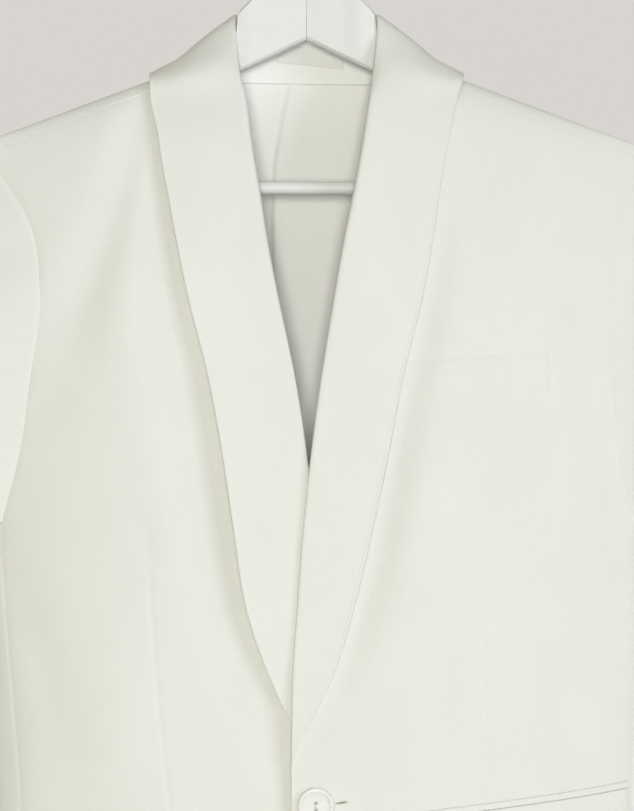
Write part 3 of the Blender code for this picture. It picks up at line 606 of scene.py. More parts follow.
def combined(tree, kind, first, second):
    made = tree.nodes.new("ShaderNodeMath")
    made.operation = kind
    for socket, value in zip(made.inputs, (first, second)):
        if isinstance(value, (int, float)):
            socket.default_value = value
        else:
            tree.links.new(value, socket)
    return made.outputs[0]


def tinted(tree, shader, colour, source, spread):
    """Vary the base colour a little, from darker to lighter, by a source between 0 and 1."""
    ramp = tree.nodes.new("ShaderNodeValToRGB")
    ramp.color_ramp.elements[0].position = 0.3
    ramp.color_ramp.elements[1].position = 0.7
    ramp.color_ramp.elements[0].color = (*(c * (1 - spread) for c in colour), 1)
    ramp.color_ramp.elements[1].color = (*(min(c * (1 + spread), 1) for c in colour), 1)
    tree.links.new(source, ramp.inputs["Fac"])
    tree.links.new(ramp.outputs["Color"], shader.inputs["Base Color"])


def bumped(tree, shader, height, distance, strength=1.0):
    bump = tree.nodes.new("ShaderNodeBump")
    bump.inputs["Distance"].default_value = distance
    bump.inputs["Strength"].default_value = strength
    tree.links.new(height, bump.inputs["Height"])
    tree.links.new(bump.outputs["Normal"], shader.inputs["Normal"])


def woven(name, colour, rough, thread, slub, depth, sheen):
    """Plain-woven cloth: threads both ways, a few thicker along their length, and a faint mottle."""
    made, tree, shader = new_material(name, colour, rough)
    warp = stretched_noise(tree, (thread, thread, slub))
    weft = stretched_noise(tree, (slub, slub, thread))
    threads = combined(tree, "ADD", warp, weft)
    mottle = stretched_noise(tree, (0.035, 0.035, 0.060), 3.0)
    cloudy = combined(tree, "ADD", combined(tree, "MULTIPLY", mottle, 0.7),
                      combined(tree, "MULTIPLY", threads, 0.15))
    tinted(tree, shader, colour, cloudy, 0.018)
    bumped(tree, shader, threads, depth)
    shader.inputs["Sheen Weight"].default_value = sheen
    shader.inputs["Sheen Roughness"].default_value = 0.45
    shader.inputs["Specular IOR Level"].default_value = 0.25
    return made


def painted_wood():
    """White satin paint over wood, with a trace of the grain and of the brush."""
    colour = (0.80, 0.815, 0.80)
    made, tree, shader = new_material("painted_wood", colour, 0.55)
    grain = stretched_noise(tree, (0.030, 0.004, 0.0012), 3.0)
    dents = stretched_noise(tree, (0.010, 0.010, 0.010), 1.0)
    tinted(tree, shader, colour, dents, 0.012)
    bumped(tree, shader, combined(tree, "ADD", combined(tree, "MULTIPLY", grain, 0.3), dents), 0.0001)
    shader.inputs["Coat Weight"].default_value = 0.04
    shader.inputs["Coat Roughness"].default_value = 0.25
    return made


def cast_button():
    """Cream plastic with a faint cloud in it."""
    colour = (0.84, 0.84, 0.79)
    made, tree, shader = new_material("button_plastic", colour, 0.30)
    cloud = stretched_noise(tree, (0.006, 0.006, 0.0025), 3.0)
    tinted(tree, shader, colour, cloud, 0.04)
    bumped(tree, shader, stretched_noise(tree, (0.0012, 0.0012, 0.0012)), 0.00002)
    shader.inputs["Subsurface Weight"].default_value = 0.05
    return made


def drawn_wire():
    """Polished steel wire with fine marks along it."""
    made, tree, shader = new_material("hook_wire", (0.66, 0.66, 0.67), 0.2)
    shader.inputs["Metallic"].default_value = 1.0
    marks = stretched_noise(tree, (0.0004, 0.0004, 0.006))
    bumped(tree, shader, marks, 0.00003)
    return made


def thread():
    made, tree, shader = new_material("sewing_thread", (0.76, 0.76, 0.69), 0.6)
    tinted(tree, shader, (0.76, 0.76, 0.69), stretched_noise(tree, (0.001,) * 3), 0.05)
    bumped(tree, shader, stretched_noise(tree, (0.0002, 0.0002, 0.0004)), 0.00008)
    shader.inputs["Sheen Weight"].default_value = 0.2
    return made


CLOTH_COLOUR = (0.800, 0.812, 0.765)
WOOL = woven("jacket_cloth", CLOTH_COLOUR, 0.85, 0.0006, 0.0045, 0.00012, 0.12)
FACING = woven("shawl_cloth", CLOTH_COLOUR, 0.72, 0.0005, 0.0040, 0.00007, 0.10)
LINING = woven("lining_cloth", (0.945, 0.950, 0.915), 0.60, 0.0004, 0.0060, 0.00006, 0.05)
TAPE = woven("label_tape", (0.86, 0.865, 0.84), 0.75, 0.0004, 0.0010, 0.00010, 0.05)
PAINT = painted_wood()
PLASTIC = cast_button()
STEEL = drawn_wire()
THREAD = thread()


# ---------------------------------------------------------------- the body's panels
def shoulder_share(across):
    """1 where the shoulder seam has come over to the front, 0 at the neckline."""
    return eased(np.abs(across), NECK_X + 0.001, NECK_X + 0.028)


def shoulder_end(side, drop=0.0):
    """Where a line that lies a drop below the ridge, on the front, meets the armhole."""
    x = SHOULDER_X
    for _ in range(8):
        z = ridge(x)[1] - drop
        x = min(OUTER.at("front_" + which(side), z), SHOULDER_X)
    return float(x), float(z)


def spaced(stops, counts):
    """Numbers through these stops, with so many steps between each two."""
    parts = [np.linspace(a, b, n, endpoint=False) for a, b, n in zip(stops, stops[1:], counts)]
    return np.concatenate((*parts, [stops[-1]]))


SHOULDER_SEAM = 0.4       # how deep the shoulder seam is, as a share of the others


def make_front(side):
    """Rows run from the shoulder seam to the hem, columns from the front edge to the side."""
    name = which(side)
    end_x, end_z = shoulder_end(side, SEAM_FORWARD)
    neck_x = front_edge(side, NECK_Z)
    down = (np.linspace(0, 1, 190) ** 1.2)[:, None]
    inner_z = NECK_Z + (HEM - NECK_Z) * down
    outer_z = end_z + (HEM - end_z) * down
    inner = front_edge(side, inner_z)
    outer = OUTER.at("front_" + name, outer_z)
    dart = DART.at(name, (inner_z + outer_z) / 2)
    near = 4 * SEAM_REACH
    share = spaced((0, 1, 2, 3, 4), (32, 5, 5, 34))[None, :]
    stops = (inner, dart - near, dart, dart + near, outer)
    x = sum(
        a + (b - a) * np.clip(share - i, 0, 1) - (a if i else 0)
        for i, (a, b) in enumerate(zip(stops, stops[1:]))
    )
    over = (x - inner) / (outer - inner)
    seam_x = neck_x + (end_x - neck_x) * over
    seam_z = ridge(seam_x)[1] - 0.0001 - SEAM_FORWARD * shoulder_share(seam_x)
    curved = seam_z + (HEM - seam_z) * down
    straight = inner_z + (outer_z - inner_z) * over
    z = curved + (straight - curved) * eased(down, 0.0, 0.3)
    grid = front_surface(side * x, z, side)
    grid[..., 1] += SHOULDER_SEAM * seam_dip((seam_z - z) * 0.8)
    grid[..., 1] += seam_dip(outer - x)
    tuck = grid[:1] + (0, TUCK_DEPTH, TUCK)
    grid = np.concatenate((tuck, grid))
    add_cloth(f"front_{name}", grid, (0, -1, 0), WOOL)


def make_back(side):
    """Rows run over the shoulder and down the back, columns from the centre seam out."""
    name = which(side)
    neck_share = NECK_X / SHOULDER_X
    over = np.concatenate(
        (
            neck_share * np.sin(spaced((0, 0.08, math.pi / 2), (5, 20)))[:-1],
            neck_share + (1 - neck_share) * np.linspace(0, 1, 44),
        )
    )[None, :]
    forward = np.linspace(1, 0, 9)[:, None]
    end_x = np.array([shoulder_end(side, SEAM_FORWARD * f * f)[0] for f in forward[:, 0]])
    x = over * end_x[:, None]
    share = shoulder_share(x)
    along = NECK_TURN * (1 - forward) * (1 - share) - SEAM_FORWARD * forward**2 * share
    front = front_form(side * x, ridge(x)[1] + along, side)
    back = form(side * x, ridge(x, True)[1] - along, 1)
    top = np.where((along < 0)[..., None], front, back)
    last_x, last_z = shoulder_end(side)
    drop = np.concatenate((0.05 * np.linspace(0, 1, 14)[1:] ** 2, np.linspace(0.05, 1, 110)[1:]))
    drop = drop[:, None]
    outer = OUTER.at("back_" + name, last_z * (1 - drop) + HEM * drop)
    x = over * outer
    start = ridge(over * last_x, True)[1] - NECK_TURN * (1 - shoulder_share(over * last_x))
    z = start * (1 - drop) + HEM * drop
    body = back_surface(side * x, z)
    body[..., 1] -= seam_dip(outer - x) * (z < PIT_Z)
    grid = np.concatenate((top, body))
    add_cloth(f"back_{name}", grid, (0, 1, 0), WOOL)


def pit_height(share):
    return PIT_Z - PIT_DIP * np.sin(np.pi * np.clip(share, 0, 1))


def make_side_panel(side):
    """Both upright edges go a little under the front and the back."""
    name = which(side)
    share = np.concatenate(([-0.03], np.linspace(0, 1, 36), [1.03]))[None, :]
    out = np.zeros(share.shape)
    out[0, (0, -1)] = -TUCK_DEPTH
    out[0, (1, -2)] = -SEAM_DIP
    down = np.linspace(0, 1, 90)[:, None]
    top = pit_height(share) - 0.0002
    z = top + (HEM - top) * down
    grid = side_section(side, z, share, out)
    add_cloth(f"side_panel_{name}", grid, (side, 0, 0), WOOL)


# ---------------------------------------------------------------- sleeves
FRONT_TURN, BACK_TURN = 150, 210
SLEEVE_SEAMS = (125, 238)
HEAD_SLOPE = 0.62
ROPING = 0.0022          # how far the sleeve's head stands above the shoulder
SLEEVE_CLEAR = 0.0045    # between the body's side and the sleeve
HEAD_TUCK = 0.0030       # how far the sleeve's head goes into the armhole
PUCKER = 0.0005


def armhole(side, turn):
    """Points of the armhole: turn is 0 at the shoulder, 90 in front, 180 under the arm."""
    turn = np.mod(turn, 360)
    under = (turn - FRONT_TURN) / (BACK_TURN - FRONT_TURN)
    low = side_section(side, pit_height(under), np.clip(under, 0, 1))
    front = turn <= FRONT_TURN
    share = np.where(front, turn / FRONT_TURN, (360 - turn) / (360 - BACK_TURN))
    top = shoulder_end(side)[1]
    z = top + (PIT_Z - top) * (1 - np.cos(np.pi * share)) / 2
    front_x = OUTER.at("front_" + which(side), z)
    back_x = OUTER.at("back_" + which(side), z)
    x = side * np.minimum(np.where(front, front_x, back_x), SHOULDER_X)
    high = np.where(front[..., None], form(x, z, -1), form(x, z, 1))
    return np.where(((under > 0) & (under < 1))[..., None], low, high)


def sleeve_ring(side, turn, z, out=0.0):
    """Points of the hanging sleeve below the underarm."""
    angle = np.radians(turn)
    beside = BODY.at("half_" + which(side), SLEEVE_TOP) + SLEEVE_CLEAR
    middle = beside + SLEEVE.at("half_width", SLEEVE_TOP) + SLEEVE.at("outward", z)
    across = middle + (SLEEVE.at("half_width", z) + out) * np.cos(angle)
    depth = -SLEEVE.at("forward", z) - (SLEEVE.at("half_depth", z) + out) * np.sin(angle)
    return np.stack(np.broadcast_arrays(side * across, depth, z), axis=-1)


def sleeve_points(side, turn, along, out=0.0):
    """along runs 0 to 1 over the sleeve's head, then 1 to 2 down to the cuff."""
    turn, along, out = np.broadcast_arrays(turn, along, out)
    below = SLEEVE_TOP + (SLEEVE_END - SLEEVE_TOP) * np.maximum(along - 1, 0)
    tube = sleeve_ring(side, turn, below, out)
    start = armhole(side, turn)
    middle = armhole(side, np.arange(0, 360, 5.0)).mean(axis=0)
    inwards = middle - start
    inwards[..., 0] = 0
    inwards /= np.linalg.norm(inwards, axis=-1, keepdims=True)
    start = start - inwards * out[..., None] + (side * 0.0004, 0, 0)
    way = np.clip(along, 0, 1)
    across = np.sin(way * np.pi / 2)
    fall = 1 - np.cos(way * np.pi / 2)
    slope = HEAD_SLOPE * (1 + np.cos(np.radians(turn))) / 2
    fall = fall + slope * (way - fall)
    share = np.stack((across, across, fall), axis=-1)
    head = start + (tube - start) * share
    roped = ROPING * np.sin(np.pi * np.clip(way / 0.22, 0, 1)) * (1 + np.cos(np.radians(turn))) / 2
    head[..., 2] += roped
    return np.where((along < 1)[..., None], head, tube)


def make_sleeve(side):
    """The top sleeve, and the under sleeve, whose edges go under the top one's."""
    name = which(side)
    first, last = SLEEVE_SEAMS
    along = np.concatenate((np.linspace(0, 1, 34)[:-1] ** 1.25, np.linspace(1, 2, 56)))[:, None]
    for piece, low, high, count, tuck in (
        (f"top_sleeve_{name}", last - 360, first, 90, 0.0),
        (f"under_sleeve_{name}", first, last, 40, 1.6),
    ):
        turn = np.linspace(low, high, count)
        out = np.full(count, 0.0)
        out[[0, -1]] = -SEAM_DIP
        if tuck:
            turn = np.concatenate(([low - tuck], turn, [high + tuck]))
            out = np.concatenate(([-TUCK_DEPTH], out, [-TUCK_DEPTH]))
        turn, out = turn[None, :], out[None, :]
        grid = sleeve_points(side, turn, along, out)
        tucked = sleeve_points(side, turn, along[:1], out - TUCK_DEPTH) - (side * HEAD_TUCK, 0, 0)
        grid = np.concatenate((tucked, grid))
        pressed = folds(piece, turn / 1000 + 0 * grid[..., 2], grid[..., 2])
        pucker = PUCKER * np.sin(np.radians(turn * 15)) * (1 + np.cos(np.radians(turn))) / 2
        fade = np.exp(-(((np.concatenate((along[:1], along)) - 0.10) / 0.10) ** 2))
        way = 1 if piece.startswith("top") else -1
        add_cloth(
            piece, grid, (side * way, 0, 0), WOOL,
            pressed=pressed + pucker * fade,
        )


# ---------------------------------------------------------------- the shawl collar
LAPEL_LIFT = 0.0023
TIP_DROP = 0.0008         # how much closer to the front a lapel lies at its tip
UNDER_RISE = 0.0022       # how far the under lapel rises to meet the other
COLLAR_ROLL = 0.0021
# A lapel's roll at its tip, how much wider it gets above that, and again towards the neck.
TIP_ROLL, MIDDLE_ROLL, NECK_ROLL = 0.0010, 0.0006, 0.0016
PRESSED_EDGE = 0.00022    # the turned edge's fine ridge
COLLAR_LIFT = 0.0062
FACING_RETURN = 0.0026
COLLAR_SWELL = 0.005
LAPEL_HEIGHTS = (-0.588, -0.574, -0.556, -0.536, -0.515, -0.493, -0.471, -0.449, -0.427, -0.405)
LAPEL_HEIGHTS += (-0.383, -0.361, -0.339, -0.317, -0.295, -0.273, -0.251, -0.229, -0.207)
LAPEL_HEIGHTS += (-0.185, -0.163)


def shoulder_height(x, y):
    """Height of the form's outer surface near the shoulder's ridge, over a point (x, y)."""
    face = -1 if y < ridge(x)[0] else 1
    start, top = ridge(x, face > 0)
    deep = form(x, top - SHOULDER_ROUND, face)[1]
    share = min(max((y - start) / (deep - start), 0.0), 1.0)
    return top - SHOULDER_ROUND * (1 - math.sqrt(1 - share * share))


def lapel_lift(side, z):
    """How far a lapel's outer face is above the front: the under one rises to meet the other."""
    tip = TIP_DROP * (1 - eased(z, BREAK_Z, -0.56))
    under = UNDER_RISE * (1 - eased(z, -0.44, -0.33)) * eased(z, -0.55, -0.50) if side < 0 else 0.0
    return LAPEL_LIFT - tip + under


def shawl_stations(side):
    """Fold, edge, foot and lift of the edge, from the break point up to the centre back."""
    name = which(side)
    stations = []
    for z in LAPEL_HEIGHTS:
        fold = front_form(side * LAPEL.at("fold_" + name, z), z, side)
        edge = front_form(side * LAPEL.at("edge_" + name, z), z, side)
        rise = lapel_lift(side, z)
        fold[1] -= rise
        edge[1] -= rise
        stations.append((fold, edge, None, float(LAPEL.at("lift_" + name, z)) - LAPEL_LIFT))
    for fold_x, fold_y, fold_z, edge_x, drop, face, turn in COLLAR:
        fold = np.array((side * fold_x, fold_y, fold_z))
        height = ridge(edge_x, face > 0)[1]
        edge = form(side * edge_x, height - drop, face) + (0, face * 0.0030, 0)
        if turn < 0:
            foot = front_form(side * front_edge(side, fold_z + turn), fold_z + turn, side)
        else:
            across = NECK_X * math.cos(math.radians(turn))
            foot = np.array((side * across, *ridge(across, True)))
        stations.append((fold, edge, foot, 0.0))
    return stations


def shawl_row(side, station, out):
    """A row from the outer edge to the fold, round it, and down inside."""
    fold, edge, foot, lift = station
    reach = (edge - fold) / np.linalg.norm(edge - fold)
    roll = COLLAR_ROLL
    if foot is None:
        roll = TIP_ROLL + MIDDLE_ROLL * eased(fold[2], BREAK_Z, -0.56)
        roll = roll + NECK_ROLL * eased(fold[2], -0.36, -0.22)
    turned = [
        -out * roll * (1 - math.cos(angle)) - reach * roll * math.sin(angle)
        for angle in np.radians((20, 42, 65, 90, 115, 140, 162, 180))
    ]
    if abs(fold[0]) > 0.040 or foot is None:
        fold = fold - (min(side * point[0] for point in turned) * side, 0, 0)
    row = []
    for share in spaced((0, 0.045, 0.9, 1.0), (9, 20, 4))[:-1]:
        point = edge + (fold - edge) * share
        if foot is None:
            lifted = front_form(point[0], point[2], side)[1] - lapel_lift(side, point[2])
            point[1] = min(point[1], lifted) - lift * (1 - share) ** 1.4
        else:
            point = point + out * COLLAR_SWELL * math.sin(math.pi * share)
            near = eased(abs(point[0]), NECK_X - 0.030, NECK_X + 0.004)
            near = max(near, eased(point[1], 0.004, 0.024))
            short = shoulder_height(point[0], point[1]) + COLLAR_LIFT - point[2]
            point[2] += near * (short + math.hypot(short, 0.0016)) / 2
        row.append(point)
    row += [fold + point for point in turned]
    end = row[-1]
    if foot is None:
        stop = end + reach * min(FACING_RETURN, 0.6 * np.linalg.norm(edge - fold))
    else:
        stop = foot + 0.0022 * (end - foot) / np.linalg.norm(end - foot)
    row += [end + (stop - end) * share for share in (0.2, 0.4, 0.6, 0.8, 1.0)]
    return row


def make_shawl(side):
    name = which(side)
    stations = shawl_stations(side)
    coarse = []
    for i, station in enumerate(stations):
        fold, edge = station[:2]
        before = stations[max(i - 1, 0)][0]
        run = stations[min(i + 1, len(stations) - 1)][0] - before
        if i == len(stations) - 1:
            run = np.array((-side, 0.0, 0.0))
        out = -side * np.cross(run, edge - fold)
        coarse.append(shawl_row(side, station, out / np.linalg.norm(out)))
    grid = smooth_line(np.array(coarse), 6)
    pressed = folds(f"shawl_{name}", grid[..., 0], grid[..., 2]) * (grid[..., 1] < -0.03)
    from_edge = np.linalg.norm(grid - grid[:, :1], axis=2)
    pressed -= PRESSED_EDGE * np.exp(-(((from_edge - 0.0010) / 0.0006) ** 2))
    add_cloth(
        f"shawl_{name}", grid, (0, -1, 0), FACING,
        SHAWL_CLOTH, pressed=pressed,
    )


# ---------------------------------------------------------------- pockets, lining and label
WELT_LIFT, WELT_CLOTH = 0.0009, 0.0013
JET, JET_CLOTH, JET_LIFT = 0.0040, 0.0010, 0.0019
FLAP, FLAP_CLOTH, FLAP_LIFT = 0.0480, 0.0016, 0.0027
FACING_HALF = 0.052
LABEL_CLOTH = 0.0006
LINING_TOP, LINING_END = -0.1443, HEM + 0.03
LINING_HALF_TOP, LINING_HALF = 0.048, 0.140


def four_sided(corners, rows, columns):
    """Across and height over a four-cornered piece, whose corners are (across, height)."""
    (ax, az), (bx, bz), (cx, cz), (dx, dz) = corners
    u, v = np.meshgrid(np.linspace(0, 1, columns), np.linspace(0, 1, rows))
    x = (ax * (1 - u) + bx * u) * (1 - v) + (dx * (1 - u) + cx * u) * v
    z = (az * (1 - u) + bz * u) * (1 - v) + (dz * (1 - u) + cz * u) * v
    return x, z, u, v


def strip(inner, outer, inner_z, outer_z, drop, depth):
    """Corners of a strip that hangs a drop below a slanting line, and is this deep."""
    tops = ((inner, inner_z - drop), (outer, outer_z - drop))
    return (*tops, (outer, outer_z - drop - depth), (inner, inner_z - drop - depth))


def make_pockets():
    """A welt on the chest, and a jet with a flap below it at each hip."""
    welt = ((0.0600, -0.3324), (0.1560, -0.3264), (0.1560, -0.3512), (0.0545, -0.3584))
    x, z, u, v = four_sided(welt, 18, 60)
    edge = np.minimum(np.minimum(v, 1 - v) * 0.025, (1 - u) * 0.090)
    pressed = 0.0006 * np.exp(-((edge / 0.0022) ** 2)) - 0.0003 * np.sin(np.pi * v)
    add_cloth(
        "breast_welt", front_surface(x, z, 1), (0, -1, 0), WOOL,
        WELT_CLOTH, WELT_LIFT, pressed,
    )
    for side, *line in (
        (1, 0.0760, 0.2070, -0.6170, -0.6024),
        (-1, -0.0560, -0.1800, -0.6480, -0.6360),
    ):
        name = which(side)
        x, z, u, v = four_sided(strip(*line, 0.0, JET), 8, 70)
        pressed = 0.0005 * (2 * v - 1) ** 4
        add_cloth(
            f"pocket_jet_{name}", front_surface(x, z, side), (0, -1, 0), WOOL,
            JET_CLOTH, JET_LIFT, pressed,
        )
        x, z, u, v = four_sided(strip(*line, JET + 0.0004, FLAP), 34, 80)
        across = np.minimum(u, 1 - u) * abs(line[1] - line[0])
        corner = 0.0060 * np.exp(-((across / 0.005) ** 2)) * eased(v, 0.6, 1.0)
        pressed = 0.0009 * np.exp(-((np.minimum(across, (1 - v) * FLAP) / 0.002) ** 2))
        pressed -= 0.0008 * np.sin(np.pi * u) * eased(v, 0.1, 1.0)
        add_cloth(
            f"pocket_flap_{name}", front_surface(x, z + corner, side), (0, -1, 0), WOOL,
            FLAP_CLOTH, FLAP_LIFT, pressed,
        )


def lining_seam(share):
    """Height of the seam below the neck facing: share is -1 to 1 across, and it falls a little."""
    return LINING_TOP - 0.0016 * (share + 1) / 2


# The lining's pleat: where its folded edge lies, from the seam down.
PLEAT = Table(
    ("height", "across", "depth"),
    (
        (-0.144, -0.0112, 0.0012),
        (-0.169, -0.0162, 0.0016),
        (-0.196, -0.0206, 0.0020),
        (-0.216, -0.0220, 0.0022),
        (-0.290, -0.0216, 0.0022),
        (-0.340, -0.0180, 0.0020),
        (-0.450, -0.0120, 0.0016),
        (-0.600, -0.0060, 0.0010),
        (-0.830, 0.0000, 0.0004),
    ),
)


def make_inside():
    """Inside the back of the neck: a facing, the lining below it, and a bare label on it."""
    u, v = np.meshgrid(np.linspace(-1, 1, 70), np.linspace(0, 1, 26))
    x = FACING_HALF * u
    top = ridge(x, True)[1] - 0.0035
    z = top + (lining_seam(u) + 0.0005 - top) * v
    under = -(CLOTH + 0.0009)
    pressed = 0.0006 * np.exp(-(((1 - v) * 0.03 / 0.0016) ** 2))
    add_cloth(
        "back_neck_facing", form(x, z, 1), (0, 1, 0), LINING,
        LINING_CLOTH, under, pressed,
    )
    v = (np.linspace(0, 1, 130) ** 1.3)[:, None]
    near = np.concatenate((np.linspace(-0.010, -0.0006, 8), np.linspace(0.0002, 0.016, 10)))
    half = LINING_HALF_TOP + (LINING_HALF - LINING_HALF_TOP) * eased(v, 0.0, 0.25)
    z = lining_seam(0) + (LINING_END - lining_seam(0)) * v
    pleat = PLEAT.at("across", z)
    left = -half + (pleat - 0.011 + half) * np.linspace(0, 1, 26)[None, :]
    right = pleat + 0.018 + (half - pleat - 0.018) * np.linspace(0, 1, 34)[None, :]
    x = np.concatenate((left, pleat + near[None, :], right), axis=1)
    z = lining_seam(x / half) + (LINING_END - lining_seam(x / half)) * v
    beside = x - pleat
    step = PLEAT.at("depth", z) * eased(beside, -0.0016, 0.0008) * (1 - eased(beside, 0.0, 0.030))
    soft = 0.0014 * np.sin(x * 75 + 0.6) * eased(-z, 0.16, 0.30)
    add_cloth(
        "back_lining", form(x, z, 1), (0, 1, 0), LINING,
        LINING_CLOTH, under - 0.0016, step + soft,
    )
    label = ((-0.0199, -0.1190), (0.0256, -0.1215), (0.0256, -0.1350), (-0.0199, -0.1300))
    x, z, u, v = four_sided(label, 16, 50)
    across = np.minimum(u, 1 - u) * 0.045
    folded = 0.0003 * np.exp(-((across / 0.0012) ** 2)) + 0.0004 * np.sin(u * 9 + 1) * v
    add_cloth(
        "neck_label", form(x, z, 1), (0, 1, 0), TAPE,
        LABEL_CLOTH, under - LINING_CLOTH - 0.0005, folded,
    )


# ---------------------------------------------------------------- button, threads and stitches
HOLE_RADIUS, HOLE_OFFSET, HOLE_CUT = 0.0011, 0.0019, 0.012


def make_button():
    """A round button with a raised rim and a dished middle with two holes."""
    profile = (
        (0.0, 0.0), (0.80, 0.0), (0.93, 0.10), (0.99, 0.30), (1.0, 0.50), (0.985, 0.72),
        (0.95, 0.90), (0.90, 0.985), (0.85, 1.0), (0.80, 0.96), (0.76, 0.86), (0.71, 0.78),
        (0.60, 0.74), (0.30, 0.72), (0.0, 0.72),
    )
    steps = 72
    shape = bmesh.new()
    rings = []
    for radius, height in profile[1:-1]:
        ring = []
        for step in range(steps):
            angle = 2 * math.pi * step / steps
            x = BUTTON_RADIUS * radius * math.cos(angle)
            z = BUTTON_RADIUS * radius * math.sin(angle)
            ring.append(shape.verts.new((x, -BUTTON_THICK * height, z)))
        rings.append(ring)
    bottom = shape.verts.new((0, 0, 0))
    top = shape.verts.new((0, -BUTTON_THICK * profile[-1][1], 0))
    for step in range(steps):
        after = (step + 1) % steps
        shape.faces.new((bottom, rings[0][step], rings[0][after]))
        shape.faces.new((top, rings[-1][after], rings[-1][step]))
        for low, high in zip(rings, rings[1:]):
            shape.faces.new((low[step], high[step], high[after], low[after]))
    made = bpy.data.objects.new("button_turned", finished_mesh(shape, "button_turned"))
    bpy.context.scene.collection.objects.link(made)
    seat = front_form(BUTTON_X, BUTTON_Z, 1)[1] - 0.0006
    made.location = (BUTTON_X, seat, BUTTON_Z)
    for way in (-1, 1):
        bpy.ops.mesh.primitive_cylinder_add(
            vertices=24, radius=HOLE_RADIUS, depth=HOLE_CUT,
            location=(BUTTON_X, seat, BUTTON_Z + way * HOLE_OFFSET),
            rotation=(math.radians(90), 0, 0),
        )
        cutter = bpy.context.object
        cut = made.modifiers.new("thread_hole", "BOOLEAN")
        cut.operation = "DIFFERENCE"
        cut.object = cutter
        bpy.context.view_layer.update()
        graph = bpy.context.evaluated_depsgraph_get()
        holed = bpy.data.meshes.new_from_object(made.evaluated_get(graph))
        made.modifiers.clear()
        made.data = holed
        bpy.data.objects.remove(cutter)
    made.data.shade_smooth()
    made.data.set_sharp_from_angle(angle=math.radians(50))
    show(made, "front_button", PLASTIC)
    face = seat - BUTTON_THICK * 0.72
    strands = []
    for shift in (-0.00032, 0.0, 0.00032):
        strand = []
        for turn in range(-90, 91, 15):
            angle = math.radians(turn)
            y = face + 0.0010 - 0.0019 * math.cos(angle)
            strand.append((BUTTON_X + shift, y, BUTTON_Z + 0.0021 * math.sin(angle)))
        strands.append(strand)
    add_threads("button_thread", strands, 0.00024)


def add_round_lines(name, node, lines, radius, finish, segments=2):
    """Round strands, rods or wires with closed ends, as one piece."""
    curve = bpy.data.curves.new(name, "CURVE")
    curve.dimensions = "3D"
    curve.bevel_depth = radius
    curve.bevel_resolution = segments
    curve.use_fill_caps = True
    for points in lines:
        line = curve.splines.new("POLY")
        line.points.add(len(points) - 1)
        for place, point in zip(line.points, points):
            place.co = (*point, 1)
    show(bpy.data.objects.new(name, curve), node, finish)


def add_threads(name, lines, radius):
    add_round_lines(name, None, lines, radius, THREAD)


def stitch_on(side, x, z, run_x, run_z, lift):
    """A short stitch on a front, which rises out of the cloth and goes back into it."""
    points = []
    for share in np.linspace(-0.5, 0.5, 7):
        place = front_surface(x + run_x * share, z + run_z * share, side)
        rise = 0.00018 * math.cos(math.pi * share)
        points.append((place[0], place[1] - lift - rise, place[2]))
    return points


SLIT_X, SLIT_Z, SLIT_HALF, SLIT_SLOPE = 0.0226, -0.6114, 0.0042, 0.16     # the buttonhole's end


def make_stitches():
    """The bar of hand stitches at the welt's outer end, and the buttonhole beside the button; its slit is
    a dark piece, painted shade.
    """
    lines = []
    for z in np.linspace(-0.3290, -0.3487, 9):
        lines.append(stitch_on(1, 0.1536, z, 0.0003, 0.0013, WELT_LIFT - 0.0001))
    add_threads("welt_stitches", lines, 0.00016)
    half, slope = SLIT_HALF, SLIT_SLOPE
    lines = []
    for turn in range(0, 360, 10):
        angle = math.radians(turn)
        along, up = math.cos(angle), math.sin(angle)
        x = SLIT_X + half * along
        z = SLIT_Z + 0.0008 * up + slope * half * along
        lines.append(stitch_on(1, x, z, 0.0008 * along, 0.0009 * up, 0.0001))
    add_threads("buttonhole_stitches", lines, 0.00018)
    # The slit is a near-black piece sunk into the cloth: painted shade for the gap inside the buttonhole.
    rim = []
    for turn in range(-60, 301, 15):
        angle = math.radians(turn)
        x = SLIT_X - 0.0004 + half * 0.80 * math.cos(angle)
        z = SLIT_Z + 0.00042 * math.sin(angle) + slope * half * 0.80 * math.cos(angle)
        rim.append((x, front_surface(x, z, 1)[1] - 0.00012, z))
    mesh = bpy.data.meshes.new("buttonhole_slit_painted_shade")
    deep = [(x, y + 0.0010, z) for x, y, z in rim]
    count = len(rim)
    sides = [(i, (i + 1) % count, count + (i + 1) % count, count + i) for i in range(count)]
    caps = [tuple(range(count)), tuple(range(2 * count - 1, count - 1, -1))]
    mesh.from_pydata(rim + deep, [], sides + caps)
    shade, tree, shader = new_material("buttonhole_shade", (0.10, 0.10, 0.075), 0.95)
    bumped(tree, shader, stretched_noise(tree, (0.0004, 0.0004, 0.0004)), 0.0001)
    show(bpy.data.objects.new("buttonhole_slit_painted_shade", mesh), None, shade)


# ---------------------------------------------------------------- hanger
ARM_REACH, ARM_END = 0.1795, 0.189


